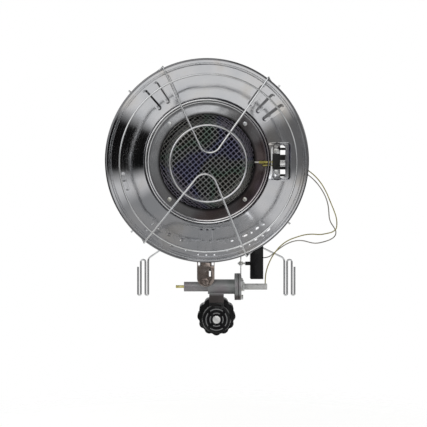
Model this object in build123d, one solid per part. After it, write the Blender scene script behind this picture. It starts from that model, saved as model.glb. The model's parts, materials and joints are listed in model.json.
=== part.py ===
from build123d import *
import math
import os

# Tank-top propane heater: a reflector head on a safety valve, a regulator with its control
# knob, and the black hand nut that couples it to a gas tank.
# Millimetres. The origin lies on the coupling axis at the rear face of the coupling nut.
# +X points right, +Y back towards the tank and +Z up.

# ---------------------------------------------------------------- driving dimensions
# Clearances
run_gap = 0.05          # radial clearance of a turning or sliding shaft
slip_gap = 0.3          # clearance of loose pieces
screw_slot = 1.2        # width of a screwdriver slot
arc_share = 0.45        # share of the shorter run that a corner's arc may take
through = 1.0           # how far a cutting tool passes a face

# Inlet nipple and coupling nut, about the Y axis
nipple_r = 7.9
nipple_bore_r = 3.0
nipple_reach = 6.0      # straight nose beyond the rear face of the nut
nipple_cone = 6.0
nipple_tip_r = 4.5
nipple_flange_r = 11.0
nipple_flange_t = 3.6
nipple_thread_r = 6.5
nipple_thread = 8.0
limiter_length = 9.0
limiter_hole_r = 1.2
nut_length = 32.5
nut_wall = 7.0
nut_root_r = 29.5
lobe_height = 2.3
lobe_r = 8.0
lobe_count = 12
nut_thread_r = 16.3
nut_thread_pitch = 4.2
nut_thread_depth = 0.9
nut_thread_turns = 5
nut_thread_lead_in = 3.15

# Regulator and control knob, about the Y axis
body_gap = 1.5          # coupling nut to regulator body
regulator_r = 21.5
regulator_depth = 16.0
regulator_cavity_r = 14.0
regulator_cavity = 7.0
regulator_coil_r = 7.6
regulator_coil_turns = 3
diaphragm_t = 1.0
cover_t = 6.0
cover_cavity = 4.2
cover_screw_r = 1.5
cover_screw_head_r = 2.4
cover_screw_head = 1.2
cover_screw_length = 11.0
cover_screw_angles = (45, 135, 225, 315)
stem_r = 3.0
stem_boss_r = 6.0
stem_boss = 1.4
stem_tip_gap = 1.0      # stem tip to the pressure plate of the spring
spring_wire_r = 0.6
knob_gap = 2.4          # cover to knob
knob_depth = 9.5
knob_r = 23.6
knob_face_r = 22.2
knob_hub_bore = 7.0
knob_rib_radii = (10.6, 17.0)
knob_rib_width = 1.6
knob_rib_height = 1.2
knob_break_angles = (45, 135, 225, 315)
knob_break_width = 5.0
knob_cap_r = 6.3
knob_cap_t = 1.8

# Safety valve, about an axis along X
valve_z = 50.7
neck_width = 24.0
neck_inset = 1.0        # regulator faces to the neck's faces
neck_seat_z = 24.0
neck_gasket_t = 1.0
gas_way_r = 1.5
valve_left = -53.5
valve_waist = -14.0
valve_right = 30.0
valve_tube_r = 8.0
valve_body_r = 12.0
valve_flange_r = 22.0
valve_flange_t = 5.0
chamber_r = 9.0
seat_x = -8.0
seat_wall = 6.0
seat_hole_r = 3.8
spring_bore_r = 5.2
rod_guide = 6.5
rod_r = 2.3
rod_reach = 13.5        # length that stands out of the valve for the thumb
rod_collar_r = 4.6
rod_collar_t = 2.0
rod_travel = 6.0
rod_coil_turns = 6
rod_seal_r = 1.3
valve_disc_r = 6.5
valve_disc_t = 3.0
magnet_gap = 1.5        # pressed disc to magnet
magnet_clear = 0.25
magnet_stub_r = 4.0
magnet_stub = 13.0
flange_gasket_t = 1.0
flange_cover_t = 3.6
flange_pcd_r = 17.5
flange_screw_angles = (60, 180, 300)
flange_screw_r = 2.0
flange_screw_head = 3.2
flange_screw_flats = 7.0
magnet_nut_flats = 13.0
magnet_nut_t = 5.4
sleeve_r = 5.0
sleeve_right = 83.5

# Burner bracket and jet, above the outlet of the valve
outlet_x = -17.5
bracket_width = 28.6
bracket_depth = 25.5
bracket_t = 1.2
bracket_top = 92.0
bracket_shelf_z = 84.0
bracket_side_bottom = 66.0
bracket_slot_x = 6.8    # slot centre right of the bracket's centre
bracket_slot_width = 3.0
bracket_slot_low = 68.5
bracket_slot_high = 80.0
outlet_block_width = 18.0
outlet_block_top = 66.0
bolt_z = 60.0
bolt_r = 2.5
bolt_length = 9.0
bolt_head_r = 5.2
bolt_head = 2.6
bolt_slot_depth = 1.3
jet_flats = 9.0
jet_hex = 6.0
jet_tip_r = 2.2
jet_tip = 3.5
jet_bore_r = 0.6

# Burner tube behind the head
tube_r = 9.5
tube_wall = 1.0
tube_mouth_gap = 1.5    # jet tip to the mouth of the tube
tube_low_z = 97.0
tube_knee_y = 40.0
tube_knee_z = 176.0
tube_back_reach = 29.0  # behind the burner cup
tube_bends = (27.0, 33.0, 18.0)

# Reflector head; its own frame has the origin at the rim centre and +Z out of the bowl
head_x = -15.5
head_y = -70.0
head_bottom_z = 91.0
head_pitch = 3.0        # the bowl looks down by this many degrees
rim_r = 165.0
rim_bead_r = 2.2
rim_band = 3.8
rim_step_in = 1.5
rim_step = 2.8
dish_t = 0.8
cone_depth = 42.0
recess_depth = 13.4
cutout_gap = 2.5        # recess wall to cut-out
cutout_width = 27.0
cutout_height = 63.0
cutout_corner = 6.0
tab_gap = 1.5           # cut-out's inner edge to the tabs
tab_width = 13.0
tab_reach = 18.5
tab_lip = 1.6
holder_t = 6.0
holder_ear_t = 2.0
finger_reach = 9.0
fingers = ((21.1, 4.0), (6.7, 9.4), (-10.7, 5.2), (-23.0, 4.0))     # middle, height
holder_half = 12.5
holder_screw_r = 1.6
holder_screw_head_r = 3.6
holder_screw_head = 2.0
holder_screw_edge = 4.6  # screw centre to the tab's free edge
holder_screw_tip = 3.0

# Burner
pan_t = 0.8
pan_gap = 0.4
pan_bead_r = 1.5
pan_corner = 4.3
pan_width = 25.5        # screen's base to the wall of the recess
pan_lip = 3.5           # pan's hole inside the screen's base
cup_t = 0.8
cup_edge = 1.4          # rivet heads to the flange's edge
cup_flange = 14.0
cup_depth = 20.0
baffle_gap = 21.0       # cup wall to baffle
baffle_t = 1.2
baffle_leg = 7.0
baffle_leg_r = 3.0
baffle_leg_in = 15.0    # baffle's edge to its legs
baffle_leg_angles = (0, 120, 240)
screen_t = 0.8
screen_foot = 4.0
screen_base_r = 79.5
screen_height = 25.0
screen_taper = 10.5     # base to shoulder
screen_crown = 4.0
screen_round = 8.0      # shoulder to crown
screen_shift = (5.0, -3.0)
screen_lean = 0.85      # share of the shift that the shoulder has
inner_screen_gap = 6.0  # crown of the inner screen below the outer one
screen_opening = 9.6    # the outer screen's cloth as a plain grid, two meshes to one opening
screen_bar = 3.6
screen_grid_turn = 41.0
clamp_ring_t = 1.2
clamp_ring_width = 4.5
rivet_gap = 2.9         # screen's foot to the rivet heads
rivet_r = 2.0
rivet_head_r = 3.6
rivet_head = 1.8
rivet_angles = (45, 135, 225, 315)

# Guard of bent wire
guard_wire_r = 1.5
guard_centre = (2.0, -4.0)
guard_outer_r = 142.6
guard_inner_r = 61.5
guard_bend = 18.0
guard_hook_gap = 0.3
guard_nib = 4.5
upper_leg_angles = (35.2, 334.8)    # clockwise from the top
upper_nib_angles = (44.0, 312.0)
lower_leg_angles = (157.4, 219.0)
lower_nib_angles = (127.0, 227.0)
hook_step = 7.0         # degrees of rim between two bends of a hook

# Thermocouple through the wall of the burner pan
probe_y = -1.0
probe_z = -45.6
probe_sleeve_r = 2.6
probe_reach = 18.5      # sleeve inside the wall of the recess
probe_tail = 11.0       # beyond the holder
probe_tip_r = 1.5
probe_tip = 7.0
return_y = -6.3
return_r = 1.5
return_reach = 12.0

# Support wire that stands on the collar of the tank
stay_wire_r = 1.6
stay_y = 47.0
stay_half = 120.6       # coupling axis to the inner leg's centre line
stay_loop = 4.9
collar_gap = 5.0        # free width over the collar's edge
stay_top_z = 92.0
stay_over_z = 89.4
stay_low_z = 27.0
stay_end_z = 77.0
stay_flat = 20.0
clamp_up = 88.0         # along the sloping run of the burner tube
clamp_band = 1.6
clamp_width = 8.0
clamp_block = 22.0
clamp_screw_head_r = 3.0
clamp_screw_head = 2.0

# Tip-over switch
switch_bracket_t = 1.2
switch_bracket_width = 20.0
switch_bracket_top = 106.0
switch_left = 55.7
switch_width = 20.8
switch_depth = 24.0
switch_low = 64.0
switch_high = 118.0
switch_wall = 1.6
switch_cover_t = 1.6
switch_stud_z = 89.0
switch_stud_r = 1.5
switch_peg_r = 3.1
switch_peg = 8.2
switch_nut_flats = 5.5
switch_nut_t = 2.4
switch_stud_tip = 2.0
ball_r = 6.0
contact_r = 0.8
contact_length = 9.0
contact_pitch = 5.0

# The two loose leads of the thermocouple
lead_r = 0.9
yellow_lead_points = (
    (80.5, -42, 55.7), (80.5, -42, 68), (83.5, -43.5, 82), (89, -46, 96), (97, -47, 109),
    (107, -46, 120), (120, -45, 128.4), (133.5, -44, 133), (146, -44, 136.6),
    (158.5, -45, 137.6), (170.7, -45, 136.4), (182.2, -45, 138.6), (190.8, -45, 140.6),
    (197.2, -45, 145.2), (198.6, -45, 154.1), (197.4, -45, 165.6), (192.9, -45, 178),
    (187.2, -46, 191.2), (181.4, -47, 205.2), (173.2, -48, 219.7), (163.3, -48, 231.9),
    (152, -45, 242), (139, -36, 250.5), (128, -24.46, 257.385),
)
grey_lead_points = (
    (76.5, -36, 98), (86, -36, 98), (96, -37, 106.5), (107, -38, 115.6),
    (119.6, -38, 123), (132.8, -38, 126.9), (145.1, -38, 126.4), (155.8, -38, 123),
    (165.7, -38, 121.8), (177.3, -38, 124.2), (188.8, -38, 128), (196.8, -38, 133.8),
    (198.4, -38, 141.4), (194.6, -38, 148.6), (189.8, -38, 155.4), (186.8, -38, 163.5),
    (186.2, -38, 174.5), (184.6, -39, 187.5), (179.6, -40, 201.5), (170.8, -41, 216),
    (160.5, -41, 228), (149, -39, 237.5), (138, -32, 246), (128, -24.13, 252.093),
)

# ---------------------------------------------------------------- derived values and frames
nut_front = -nut_length
cavity_floor = nut_front + nut_wall
regulator_rear = nut_front - body_gap
regulator_front = regulator_rear - regulator_depth
cover_rear = regulator_front - diaphragm_t
cover_front = cover_rear - cover_t
knob_rear = cover_front - knob_gap
knob_front = knob_rear - knob_depth
cover_screw_ring = (regulator_cavity_r + regulator_r) / 2
cover_screw_tip = cover_front + cover_screw_length
gas_y = regulator_front + regulator_cavity / 2
neck_front = regulator_front + neck_inset
neck_rear = regulator_rear - neck_inset
valve_y = regulator_rear - regulator_depth / 2
valve_end = valve_right + valve_flange_t
cover_left = valve_end + flange_gasket_t
cover_right = cover_left + flange_cover_t
bracket_right = cover_right + switch_bracket_t
magnet_nut_right = bracket_right + magnet_nut_t
disc_left = seat_x + 2 * run_gap
disc_right = disc_left + valve_disc_t
magnet_left = disc_right + rod_travel + magnet_gap
rod_left = valve_left - rod_reach
collar_left = valve_left + rod_guide + 2 * rod_seal_r + rod_travel / 2

bracket_front = valve_y - valve_body_r - slip_gap - bracket_t
tube_mouth_z = outlet_block_top + jet_hex + jet_tip + tube_mouth_gap

floor_z = -cone_depth - recess_depth
recess_r = screen_base_r + pan_width
pan_hole_r = screen_base_r - pan_lip
floor_hole_r = pan_hole_r - screen_foot
inner_screen_base_r = floor_hole_r - screen_foot / 2
rivet_ring = screen_base_r + screen_foot + rivet_head_r + rivet_gap
cup_flange_r = rivet_ring + rivet_head_r + cup_edge
cup_r = cup_flange_r - cup_flange
baffle_r = cup_r - baffle_gap
baffle_leg_ring = baffle_r - baffle_leg_in
pan_floor_top = floor_z + pan_t
cup_flange_top = floor_z - dish_t
cup_back = cup_flange_top - cup_depth
tab_floor = probe_z + holder_t / 2
tab_x = recess_r + cutout_gap + tab_gap
probe_sleeve_left = recess_r - probe_reach
return_left = recess_r - return_reach
probe_right = tab_x + tab_width + probe_tail
holder_screw_y = cutout_height / 2 - tab_reach + holder_screw_edge
switch_right = switch_left + switch_width
switch_front = valve_y - switch_depth / 2
switch_rear = valve_y + switch_depth / 2
switch_middle = (switch_left + switch_right) / 2

ORIGIN = (0, 0, 0)
LOW = (Align.CENTER, Align.CENTER, Align.MIN)
coupling_frame = Location(Plane(origin=ORIGIN, x_dir=(1, 0, 0), z_dir=(0, 1, 0)))
valve_frame = Location(Plane(origin=(0, valve_y, valve_z), x_dir=(0, 1, 0), z_dir=(1, 0, 0)))
pitch = math.radians(head_pitch)
head_centre = (head_x, head_y, head_bottom_z + rim_r)
head_out = (0, -math.cos(pitch), -math.sin(pitch))
head_frame = Location(Plane(origin=head_centre, x_dir=(1, 0, 0), z_dir=head_out))


# ---------------------------------------------------------------- shape helpers
def rod(radius, low, high):
    """A round bar along Z."""
    return Pos(0, 0, low) * Cylinder(radius, high - low, align=LOW)


def ring(outer, inner, low, high):
    """A flat washer or a straight tube along Z."""
    return rod(outer, low, high) - rod(inner, low - through, high + through)


def block(low, high):
    """A box between two corners."""
    size = [b - a for a, b in zip(low, high)]
    centre = [(a + b) / 2 for a, b in zip(low, high)]
    return Pos(*centre) * Box(*size)


def turned(*corners):
    """A solid of revolution about Z from (radius, height) corners."""
    outline = Polyline(*[(radius, 0, height) for radius, height in corners], close=True)
    return revolve(make_face(outline), axis=Axis.Z)


def torus(ring_r, wire_r, height):
    """A ring of round section."""
    return Pos(0, 0, height) * Torus(ring_r, wire_r)


def hexagon(flats, low, high):
    """A hexagonal bar along Z, by its size across flats."""
    return Pos(0, 0, low) * extrude(RegularPolygon(flats / 2, 6, major_radius=False), high - low)


def spun_sheet(corners, wall):
    """Sheet metal of revolution: the corners follow one face, the wall lies on its left."""
    steps = [(b[0] - a[0], b[1] - a[1]) for a, b in zip(corners, corners[1:])]
    sides = [(-dz / math.hypot(dr, dz), dr / math.hypot(dr, dz)) for dr, dz in steps]
    sides = [sides[0]] + sides + [sides[-1]]
    rear = []
    for (r, z), (ar, az), (br, bz) in zip(corners, sides, sides[1:]):
        reach = wall / (1 + ar * br + az * bz)
        rear.append((r + reach * (ar + br), z + reach * (az + bz)))
    return turned(*corners, *reversed(rear))


def wire(points, radii, wire_r):
    """Round wire along straight runs joined by arcs."""
    path = FilletPolyline(*points, radius=radii)
    start = Plane(origin=path @ 0, z_dir=path % 0)
    return sweep(start * Circle(wire_r), path=path)


def spring(coil_r, wire_r, low, high, turns):
    """A coil spring along Z between two seats."""
    height = high - low - 2 * wire_r
    coil = Pos(0, 0, low + wire_r) * Helix(height / turns, height, coil_r)
    start = Plane(origin=coil @ 0, z_dir=coil % 0)
    return sweep(start * Circle(wire_r), path=coil, is_frenet=True)


def clock(angle, radius, height=0.0, centre=(0, 0)):
    """A point at an angle clockwise from the top, in the plane of the head."""
    turn = math.radians(angle)
    return (centre[0] + radius * math.sin(turn), centre[1] + radius * math.cos(turn), height)


def group(solids):
    """Separate solids that share one node."""
    return Compound(children=[solid for part in solids for solid in part.solids()])


# ---------------------------------------------------------------- coupling
def inlet_nipple():
    flange_low = cavity_floor + run_gap
    flange_high = flange_low + nipple_flange_t
    seat = regulator_rear
    corners = (
        (nipple_bore_r, seat - nipple_thread), (nipple_thread_r, seat - nipple_thread),
        (nipple_thread_r, seat), (nipple_r, seat), (nipple_r, flange_low),
        (nipple_flange_r, flange_low), (nipple_flange_r, flange_high),
        (nipple_r, flange_high), (nipple_r, nipple_reach),
        (nipple_tip_r, nipple_reach + nipple_cone), (nipple_bore_r, nipple_reach + nipple_cone),
    )
    return coupling_frame * turned(*corners)


def flow_limiter():
    body = rod(nipple_bore_r - run_gap, nipple_reach - limiter_length, nipple_reach)
    slots = [Rot(0, 0, turn) * Pos(nipple_bore_r, 0, nipple_reach - limiter_length / 2)
             * Box(nipple_bore_r, limiter_hole_r, limiter_length + through)
             for turn in (0, 90, 180, 270)]
    return coupling_frame * (body - slots)


def coupling_nut():
    body = rod(nut_root_r, nut_front, 0)
    lobe_centre = nut_root_r + lobe_height - lobe_r
    lobes = [Rot(0, 0, 360 * n / lobe_count) * Pos(lobe_centre, 0, 0) * rod(lobe_r, nut_front, 0)
             for n in range(lobe_count)]
    body = body + lobes
    body = body - rod(nipple_r + run_gap, nut_front - through, 0)
    body = body - rod(nut_thread_r, cavity_floor, through)
    for n in range(nut_thread_turns):
        root = -nut_thread_lead_in - nut_thread_pitch * n
        body = body - ring(nut_thread_r + nut_thread_depth, nut_thread_r - through,
                           root - nut_thread_pitch / 2, root)
    return coupling_frame * body


# ---------------------------------------------------------------- regulator and knob
def regulator_body():
    half = neck_width / 2
    body = coupling_frame * rod(regulator_r, regulator_front, regulator_rear)
    body += block((-half, neck_front, 0), (half, neck_rear, neck_seat_z))
    body -= coupling_frame * rod(regulator_cavity_r, regulator_front - through,
                                 regulator_front + regulator_cavity)
    body -= coupling_frame * rod(nipple_bore_r, regulator_front, regulator_rear)
    body -= coupling_frame * rod(nipple_thread_r, regulator_rear - nipple_thread, regulator_rear + through)
    body -= Pos(0, gas_y, 0) * rod(gas_way_r, 0, neck_seat_z + through)
    hole = Pos(cover_screw_ring, 0, 0) * rod(cover_screw_r, regulator_front - through,
                                             cover_screw_tip + slip_gap)
    for turn in cover_screw_angles:
        body -= coupling_frame * Rot(0, 0, turn) * hole
    return body


def diaphragm():
    disc = rod(regulator_r, regulator_front - diaphragm_t, regulator_front)
    for turn in cover_screw_angles:
        disc -= (Rot(0, 0, turn) * Pos(cover_screw_ring, 0, 0)
                 * rod(cover_screw_r, regulator_front - diaphragm_t - through, regulator_front + through))
    return coupling_frame * disc


def regulator_cover():
    boss_front = cover_front - stem_boss
    cover = rod(regulator_r, cover_front, cover_rear) + rod(stem_boss_r, boss_front, cover_front)
    cover -= rod(regulator_cavity_r, cover_rear - cover_cavity, cover_rear + through)
    cover -= rod(stem_r + run_gap, boss_front - through, cover_rear)
    for turn in cover_screw_angles:
        cover -= (Rot(0, 0, turn) * Pos(cover_screw_ring, 0, 0)
                  * rod(cover_screw_r, cover_front - through, cover_rear + through))
    return coupling_frame * cover


def cover_screws():
    screw = rod(cover_screw_r, cover_front, cover_screw_tip)
    screw += rod(cover_screw_head_r, cover_front - cover_screw_head, cover_front)
    return group([coupling_frame * Rot(0, 0, turn) * Pos(cover_screw_ring, 0, 0) * screw
                  for turn in cover_screw_angles])


def regulator_spring():
    seat = cover_rear - cover_cavity
    return coupling_frame * spring(regulator_coil_r, spring_wire_r, seat, cover_rear,
                                   regulator_coil_turns)


def knob_stem():
    tip = cover_rear - stem_tip_gap
    return coupling_frame * rod(stem_r, knob_front + knob_depth - knob_hub_bore, tip)


def control_knob():
    knob = turned((0, knob_front), (knob_face_r, knob_front), (knob_r, knob_rear), (0, knob_rear))
    for rib_r in knob_rib_radii:
        rib = ring(rib_r + knob_rib_width / 2, rib_r - knob_rib_width / 2,
                   knob_front - knob_rib_height, knob_front)
        for turn in knob_break_angles:
            rib -= (Rot(0, 0, turn) * Pos(rib_r, 0, knob_front - knob_rib_height)
                    * Box(4 * knob_rib_width, knob_break_width, 2 * knob_rib_height))
        knob += rib
    knob -= rod(knob_cap_r + slip_gap / 2, knob_front - through, knob_front + knob_cap_t / 2)
    knob -= rod(stem_r, knob_rear - knob_hub_bore, knob_rear + through)
    return coupling_frame * knob


def knob_cap():
    seat = knob_front + knob_cap_t / 2
    return coupling_frame * rod(knob_cap_r, seat - knob_cap_t, seat)


# ---------------------------------------------------------------- safety valve
def neck_gasket():
    half = neck_width / 2
    pad = block((-half, neck_front, neck_seat_z), (half, neck_rear, neck_seat_z + neck_gasket_t))
    return pad - Pos(0, gas_y, 0) * rod(gas_way_r, neck_seat_z - through, valve_z)


def valve_body():
    half = neck_width / 2
    body = rod(valve_tube_r, valve_left, valve_waist) + rod(valve_body_r, valve_waist, valve_end)
    body += rod(valve_flange_r, valve_right, valve_end)
    body = valve_frame * body
    body += block((-half, neck_front, neck_seat_z + neck_gasket_t), (half, neck_rear, valve_z))
    wide = outlet_block_width / 2
    body += block((outlet_x - wide, bracket_front + bracket_t, valve_z),
                  (outlet_x + wide, valve_y + valve_tube_r, outlet_block_top))
    body -= valve_frame * rod(rod_r + run_gap, valve_left - through, valve_right)
    body -= valve_frame * rod(spring_bore_r, valve_left + rod_guide, seat_x - seat_wall)
    body -= valve_frame * rod(seat_hole_r, seat_x - seat_wall - through, seat_x + through)
    body -= valve_frame * rod(chamber_r, seat_x, valve_end + through)
    body -= Pos(0, gas_y, 0) * rod(gas_way_r, neck_seat_z, valve_z)
    body -= Pos(outlet_x, valve_y, 0) * rod(gas_way_r, valve_z, outlet_block_top + through)
    bolt_hole = rod(bolt_r, 0, bolt_length + slip_gap)
    body -= Pos(outlet_x, bracket_front + bracket_t - slip_gap, bolt_z) * Rot(-90, 0, 0) * bolt_hole
    for place in flange_screw_places(valve_right - through):
        body -= place * rod(flange_screw_r, 0, valve_flange_t + 2 * through)
    return body


def flange_screw_places(x):
    """Places of the flange screws, each with +Z along the valve and the origin at x."""
    return [valve_frame * Rot(0, 0, 90 - angle) * Pos(flange_pcd_r, 0, x)
            for angle in flange_screw_angles]


def push_rod():
    bar = rod(rod_r, rod_left, disc_left)
    return valve_frame * (bar + rod(rod_collar_r, collar_left, collar_left + rod_collar_t))


def rod_seal():
    seat = valve_left + rod_guide
    return valve_frame * ring(spring_bore_r, rod_r + run_gap, seat, seat + 2 * rod_seal_r)


def rod_spring():
    coil_r = (spring_bore_r + seat_hole_r) / 2
    return valve_frame * spring(coil_r, spring_wire_r, collar_left + rod_collar_t,
                                seat_x - seat_wall, rod_coil_turns)


def valve_disc():
    return valve_frame * rod(valve_disc_r, disc_left, disc_right)


def magnet_unit():
    body = rod(chamber_r - magnet_clear, magnet_left, cover_left)
    return valve_frame * (body + rod(magnet_stub_r, cover_left, cover_left + magnet_stub))


def drilled_plate(plate, low, high):
    """Drills the magnet's hole and the flange screws' holes through a plate."""
    plate -= valve_frame * rod(magnet_stub_r + run_gap, low - through, high + through)
    for place in flange_screw_places(low - through):
        plate -= place * rod(flange_screw_r, 0, high - low + 2 * through)
    return plate


def flange_gasket():
    gasket = valve_frame * ring(valve_flange_r, chamber_r, valve_end, cover_left)
    for place in flange_screw_places(valve_end - through):
        gasket -= place * rod(flange_screw_r, 0, flange_gasket_t + 2 * through)
    return gasket


def flange_cover():
    return drilled_plate(valve_frame * rod(valve_flange_r, cover_left, cover_right),
                         cover_left, cover_right)


def flange_screws():
    screw = rod(flange_screw_r, valve_right, bracket_right)
    screw += hexagon(flange_screw_flats, bracket_right, bracket_right + flange_screw_head)
    return group([place * screw for place in flange_screw_places(0)])


def magnet_nut():
    nut = hexagon(magnet_nut_flats, bracket_right, magnet_nut_right)
    return valve_frame * Rot(0, 0, 30) * (nut - rod(magnet_stub_r, bracket_right - through,
                                                    magnet_nut_right + through))


def interrupter_sleeve():
    sleeve = rod(sleeve_r, magnet_nut_right, sleeve_right)
    stub_end = cover_left + magnet_stub
    return valve_frame * (sleeve - rod(magnet_stub_r, magnet_nut_right - through, stub_end))


# ---------------------------------------------------------------- burner bracket, jet, tube
def burner_bracket():
    half = bracket_width / 2
    left, right = outlet_x - half, outlet_x + half
    rear = bracket_front + bracket_depth
    inner = bracket_front + bracket_t
    bracket = block((left, bracket_front, bracket_side_bottom), (right, inner, bracket_top))
    ear = Pos(outlet_x, bracket_front, bracket_side_bottom) * Rot(-90, 0, 0) * rod(half, 0, bracket_t)
    bracket += ear
    for low, high in ((left, left + bracket_t), (right - bracket_t, right)):
        bracket += block((low, bracket_front, bracket_side_bottom + slip_gap), (high, rear, bracket_top))
    bracket += block((left, bracket_front, bracket_shelf_z),
                     (right, rear, bracket_shelf_z + bracket_t))
    bracket -= Pos(outlet_x, valve_y, 0) * rod(tube_r, bracket_shelf_z - through, bracket_top)
    slot_x = outlet_x + bracket_slot_x
    bracket -= block((slot_x - bracket_slot_width / 2, bracket_front - through, bracket_slot_low),
                     (slot_x + bracket_slot_width / 2, inner + through, bracket_slot_high))
    notch = bracket_top - bracket_shelf_z - bracket_t
    for low, high in ((left - through, left + notch), (right - notch, right + through)):
        bracket -= block((low, bracket_front - through, bracket_top - notch),
                         (high, inner, bracket_top + through))
    bracket -= (Pos(outlet_x, bracket_front - through, bolt_z) * Rot(-90, 0, 0)
                * rod(bolt_r, 0, bracket_t + 2 * through))
    return bracket


def bracket_bolt():
    bolt = rod(bolt_r, 0, bolt_length) + rod(bolt_head_r, -bolt_head, 0)
    bolt -= Pos(0, 0, -bolt_head) * Box(2 * bolt_head_r, screw_slot, 2 * bolt_slot_depth)
    return Pos(outlet_x, bracket_front, bolt_z) * Rot(-90, 0, 0) * bolt


def gas_jet():
    top = outlet_block_top + jet_hex
    jet = hexagon(jet_flats, outlet_block_top, top) + rod(jet_tip_r, top, top + jet_tip)
    jet -= rod(jet_bore_r, outlet_block_top - through, top + jet_tip + through)
    return Pos(outlet_x, valve_y, 0) * jet


tube_turn = (head_frame * Pos(0, 0, cup_back - tube_back_reach)).position
tube_end = (head_frame * Pos(0, 0, cup_back + cup_t)).position
tube_low = Vector(outlet_x, valve_y, tube_low_z)
tube_knee = Vector(outlet_x, tube_knee_y, tube_knee_z)


def burner_tube():
    start = (outlet_x, valve_y, tube_mouth_z)
    path = FilletPolyline(start, tube_low, tube_knee, tube_turn, tube_end, radius=list(tube_bends))
    mouth = Plane(origin=path @ 0, z_dir=path % 0)
    outside = sweep(mouth * Circle(tube_r), path=path)
    return outside - sweep(mouth * Circle(tube_r - tube_wall), path=path)


# ---------------------------------------------------------------- reflector head
def cone_height(radius):
    """Height of the bowl's bright face at a radius."""
    outer_r = rim_r - rim_bead_r - rim_band - rim_step_in
    outer_z = -rim_bead_r - rim_step
    return outer_z + (outer_r - radius) * (-cone_depth - outer_z) / (outer_r - recess_r)


def reflector_dish():
    bead_r = rim_r - rim_bead_r
    step_r = bead_r - rim_band
    corners = (
        (bead_r, -rim_bead_r), (step_r, -rim_bead_r), (step_r - rim_step_in, -rim_bead_r - rim_step),
        (recess_r, -cone_depth), (recess_r, floor_z), (floor_hole_r, floor_z),
    )
    dish = spun_sheet(corners, dish_t) + torus(bead_r, rim_bead_r, -rim_bead_r)
    left = recess_r + cutout_gap
    window = Rectangle(cutout_width, cutout_height)
    window = fillet(window.vertices(), cutout_corner)
    dish -= Pos(left + cutout_width / 2, 0, floor_z) * extrude(window, -floor_z - through)
    dish -= probe_holes()
    for angle in rivet_angles:
        dish -= Pos(*clock(angle, rivet_ring)) * rod(rivet_r, cup_flange_top - through, floor_z + through)
    for side in (1, -1):
        dish += mirror_up(holder_tab(), side)
    return head_frame * dish


def mirror_up(part, side):
    """The part as it is, or its twin below the head's centre."""
    return part if side > 0 else mirror(part, about=Plane.XZ)


def holder_tab():
    """A tab that is bent back from the upper edge of the cut-out to carry the holder."""
    edge = cutout_height / 2
    root_z = cone_height(math.hypot(tab_x, edge)) - dish_t / 2
    leg = block((tab_x, edge - dish_t, tab_floor), (tab_x + tab_width, edge, root_z))
    lip = block((tab_x, edge, root_z - dish_t), (tab_x + tab_width, edge + tab_lip, root_z))
    foot = block((tab_x, edge - tab_reach, tab_floor), (tab_x + tab_width, edge, tab_floor + dish_t))
    hole = rod(holder_screw_r, tab_floor - through, tab_floor + dish_t + through)
    return leg + lip + foot - Pos(tab_x + tab_width / 2, holder_screw_y, 0) * hole


def probe_holes():
    """Holes for the thermocouple and its return lead through walls that stand along Z."""
    low = recess_r - pan_gap - pan_t - 2 * pan_bead_r - through
    high = recess_r + dish_t + through
    holes = []
    for y, radius in ((probe_y, probe_sleeve_r), (return_y, return_r)):
        holes.append(Pos(low, y, probe_z) * Rot(0, 90, 0) * rod(radius + slip_gap, 0, high - low))
    return holes


def thermocouple_holder():
    right = tab_x + tab_width
    top = tab_floor
    ear = holder_ear_t
    body = block((tab_x, -holder_half, top - holder_t), (right, holder_half, top))
    screw_reach = cutout_height / 2 - dish_t - slip_gap
    body += block((tab_x, -screw_reach, top - ear), (right, screw_reach, top))
    for y, height in fingers:
        body += block((right, y - height / 2, top - ear),
                      (right + finger_reach, y + height / 2, top))
    for y, radius in ((probe_y, probe_sleeve_r), (return_y, return_r)):
        body -= Pos(tab_x - through, y, probe_z) * Rot(0, 90, 0) * rod(radius, 0, right)
    for side in (1, -1):
        body -= (Pos(tab_x + tab_width / 2, side * holder_screw_y, 0)
                 * rod(holder_screw_r, top - ear - through, top + through))
    return head_frame * body


def holder_screws():
    seat = tab_floor + dish_t
    screw = rod(holder_screw_r, tab_floor - holder_screw_tip, seat)
    screw += rod(holder_screw_head_r, seat, seat + holder_screw_head)
    screw -= (Pos(0, 0, seat + holder_screw_head)
              * Box(2 * holder_screw_head_r, screw_slot, holder_screw_head))
    x = tab_x + tab_width / 2
    return group([head_frame * Pos(x, side * holder_screw_y, 0) * screw for side in (1, -1)])


def probe_bar(y, radius, left, right):
    """A round bar of the thermocouple along the head's X axis."""
    return head_frame * Pos(left, y, probe_z) * Rot(0, 90, 0) * rod(radius, 0, right - left)


def burner_pan():
    wall_r = recess_r - pan_gap - pan_t
    corners = ((wall_r, -cone_depth), (wall_r, pan_floor_top + pan_corner),
               (wall_r - pan_corner, pan_floor_top), (pan_hole_r, pan_floor_top))
    pan = spun_sheet(corners, pan_t)
    pan += torus(wall_r - pan_bead_r + pan_t, pan_bead_r, -cone_depth)
    pan -= probe_holes()
    for angle in rivet_angles:
        pan -= Pos(*clock(angle, rivet_ring)) * rod(rivet_r, floor_z - through, pan_floor_top + through)
    return head_frame * pan


def burner_cup():
    corners = ((cup_flange_r, cup_flange_top), (cup_r, cup_flange_top),
               (cup_r, cup_back), (tube_r + run_gap, cup_back))
    cup = spun_sheet(corners, cup_t)
    for angle in rivet_angles:
        cup -= (Pos(*clock(angle, rivet_ring))
                * rod(rivet_r, cup_flange_top - cup_t - through, cup_flange_top + through))
    return head_frame * cup


def burner_rivets():
    tail = cup_flange_top - cup_t
    rivet = rod(rivet_r, tail, pan_floor_top)
    rivet += rod(rivet_head_r, pan_floor_top, pan_floor_top + rivet_head)
    rivet += rod(rivet_head_r, tail - rivet_head / 2, tail)
    return group([head_frame * Pos(*clock(angle, rivet_ring)) * rivet for angle in rivet_angles])


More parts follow.
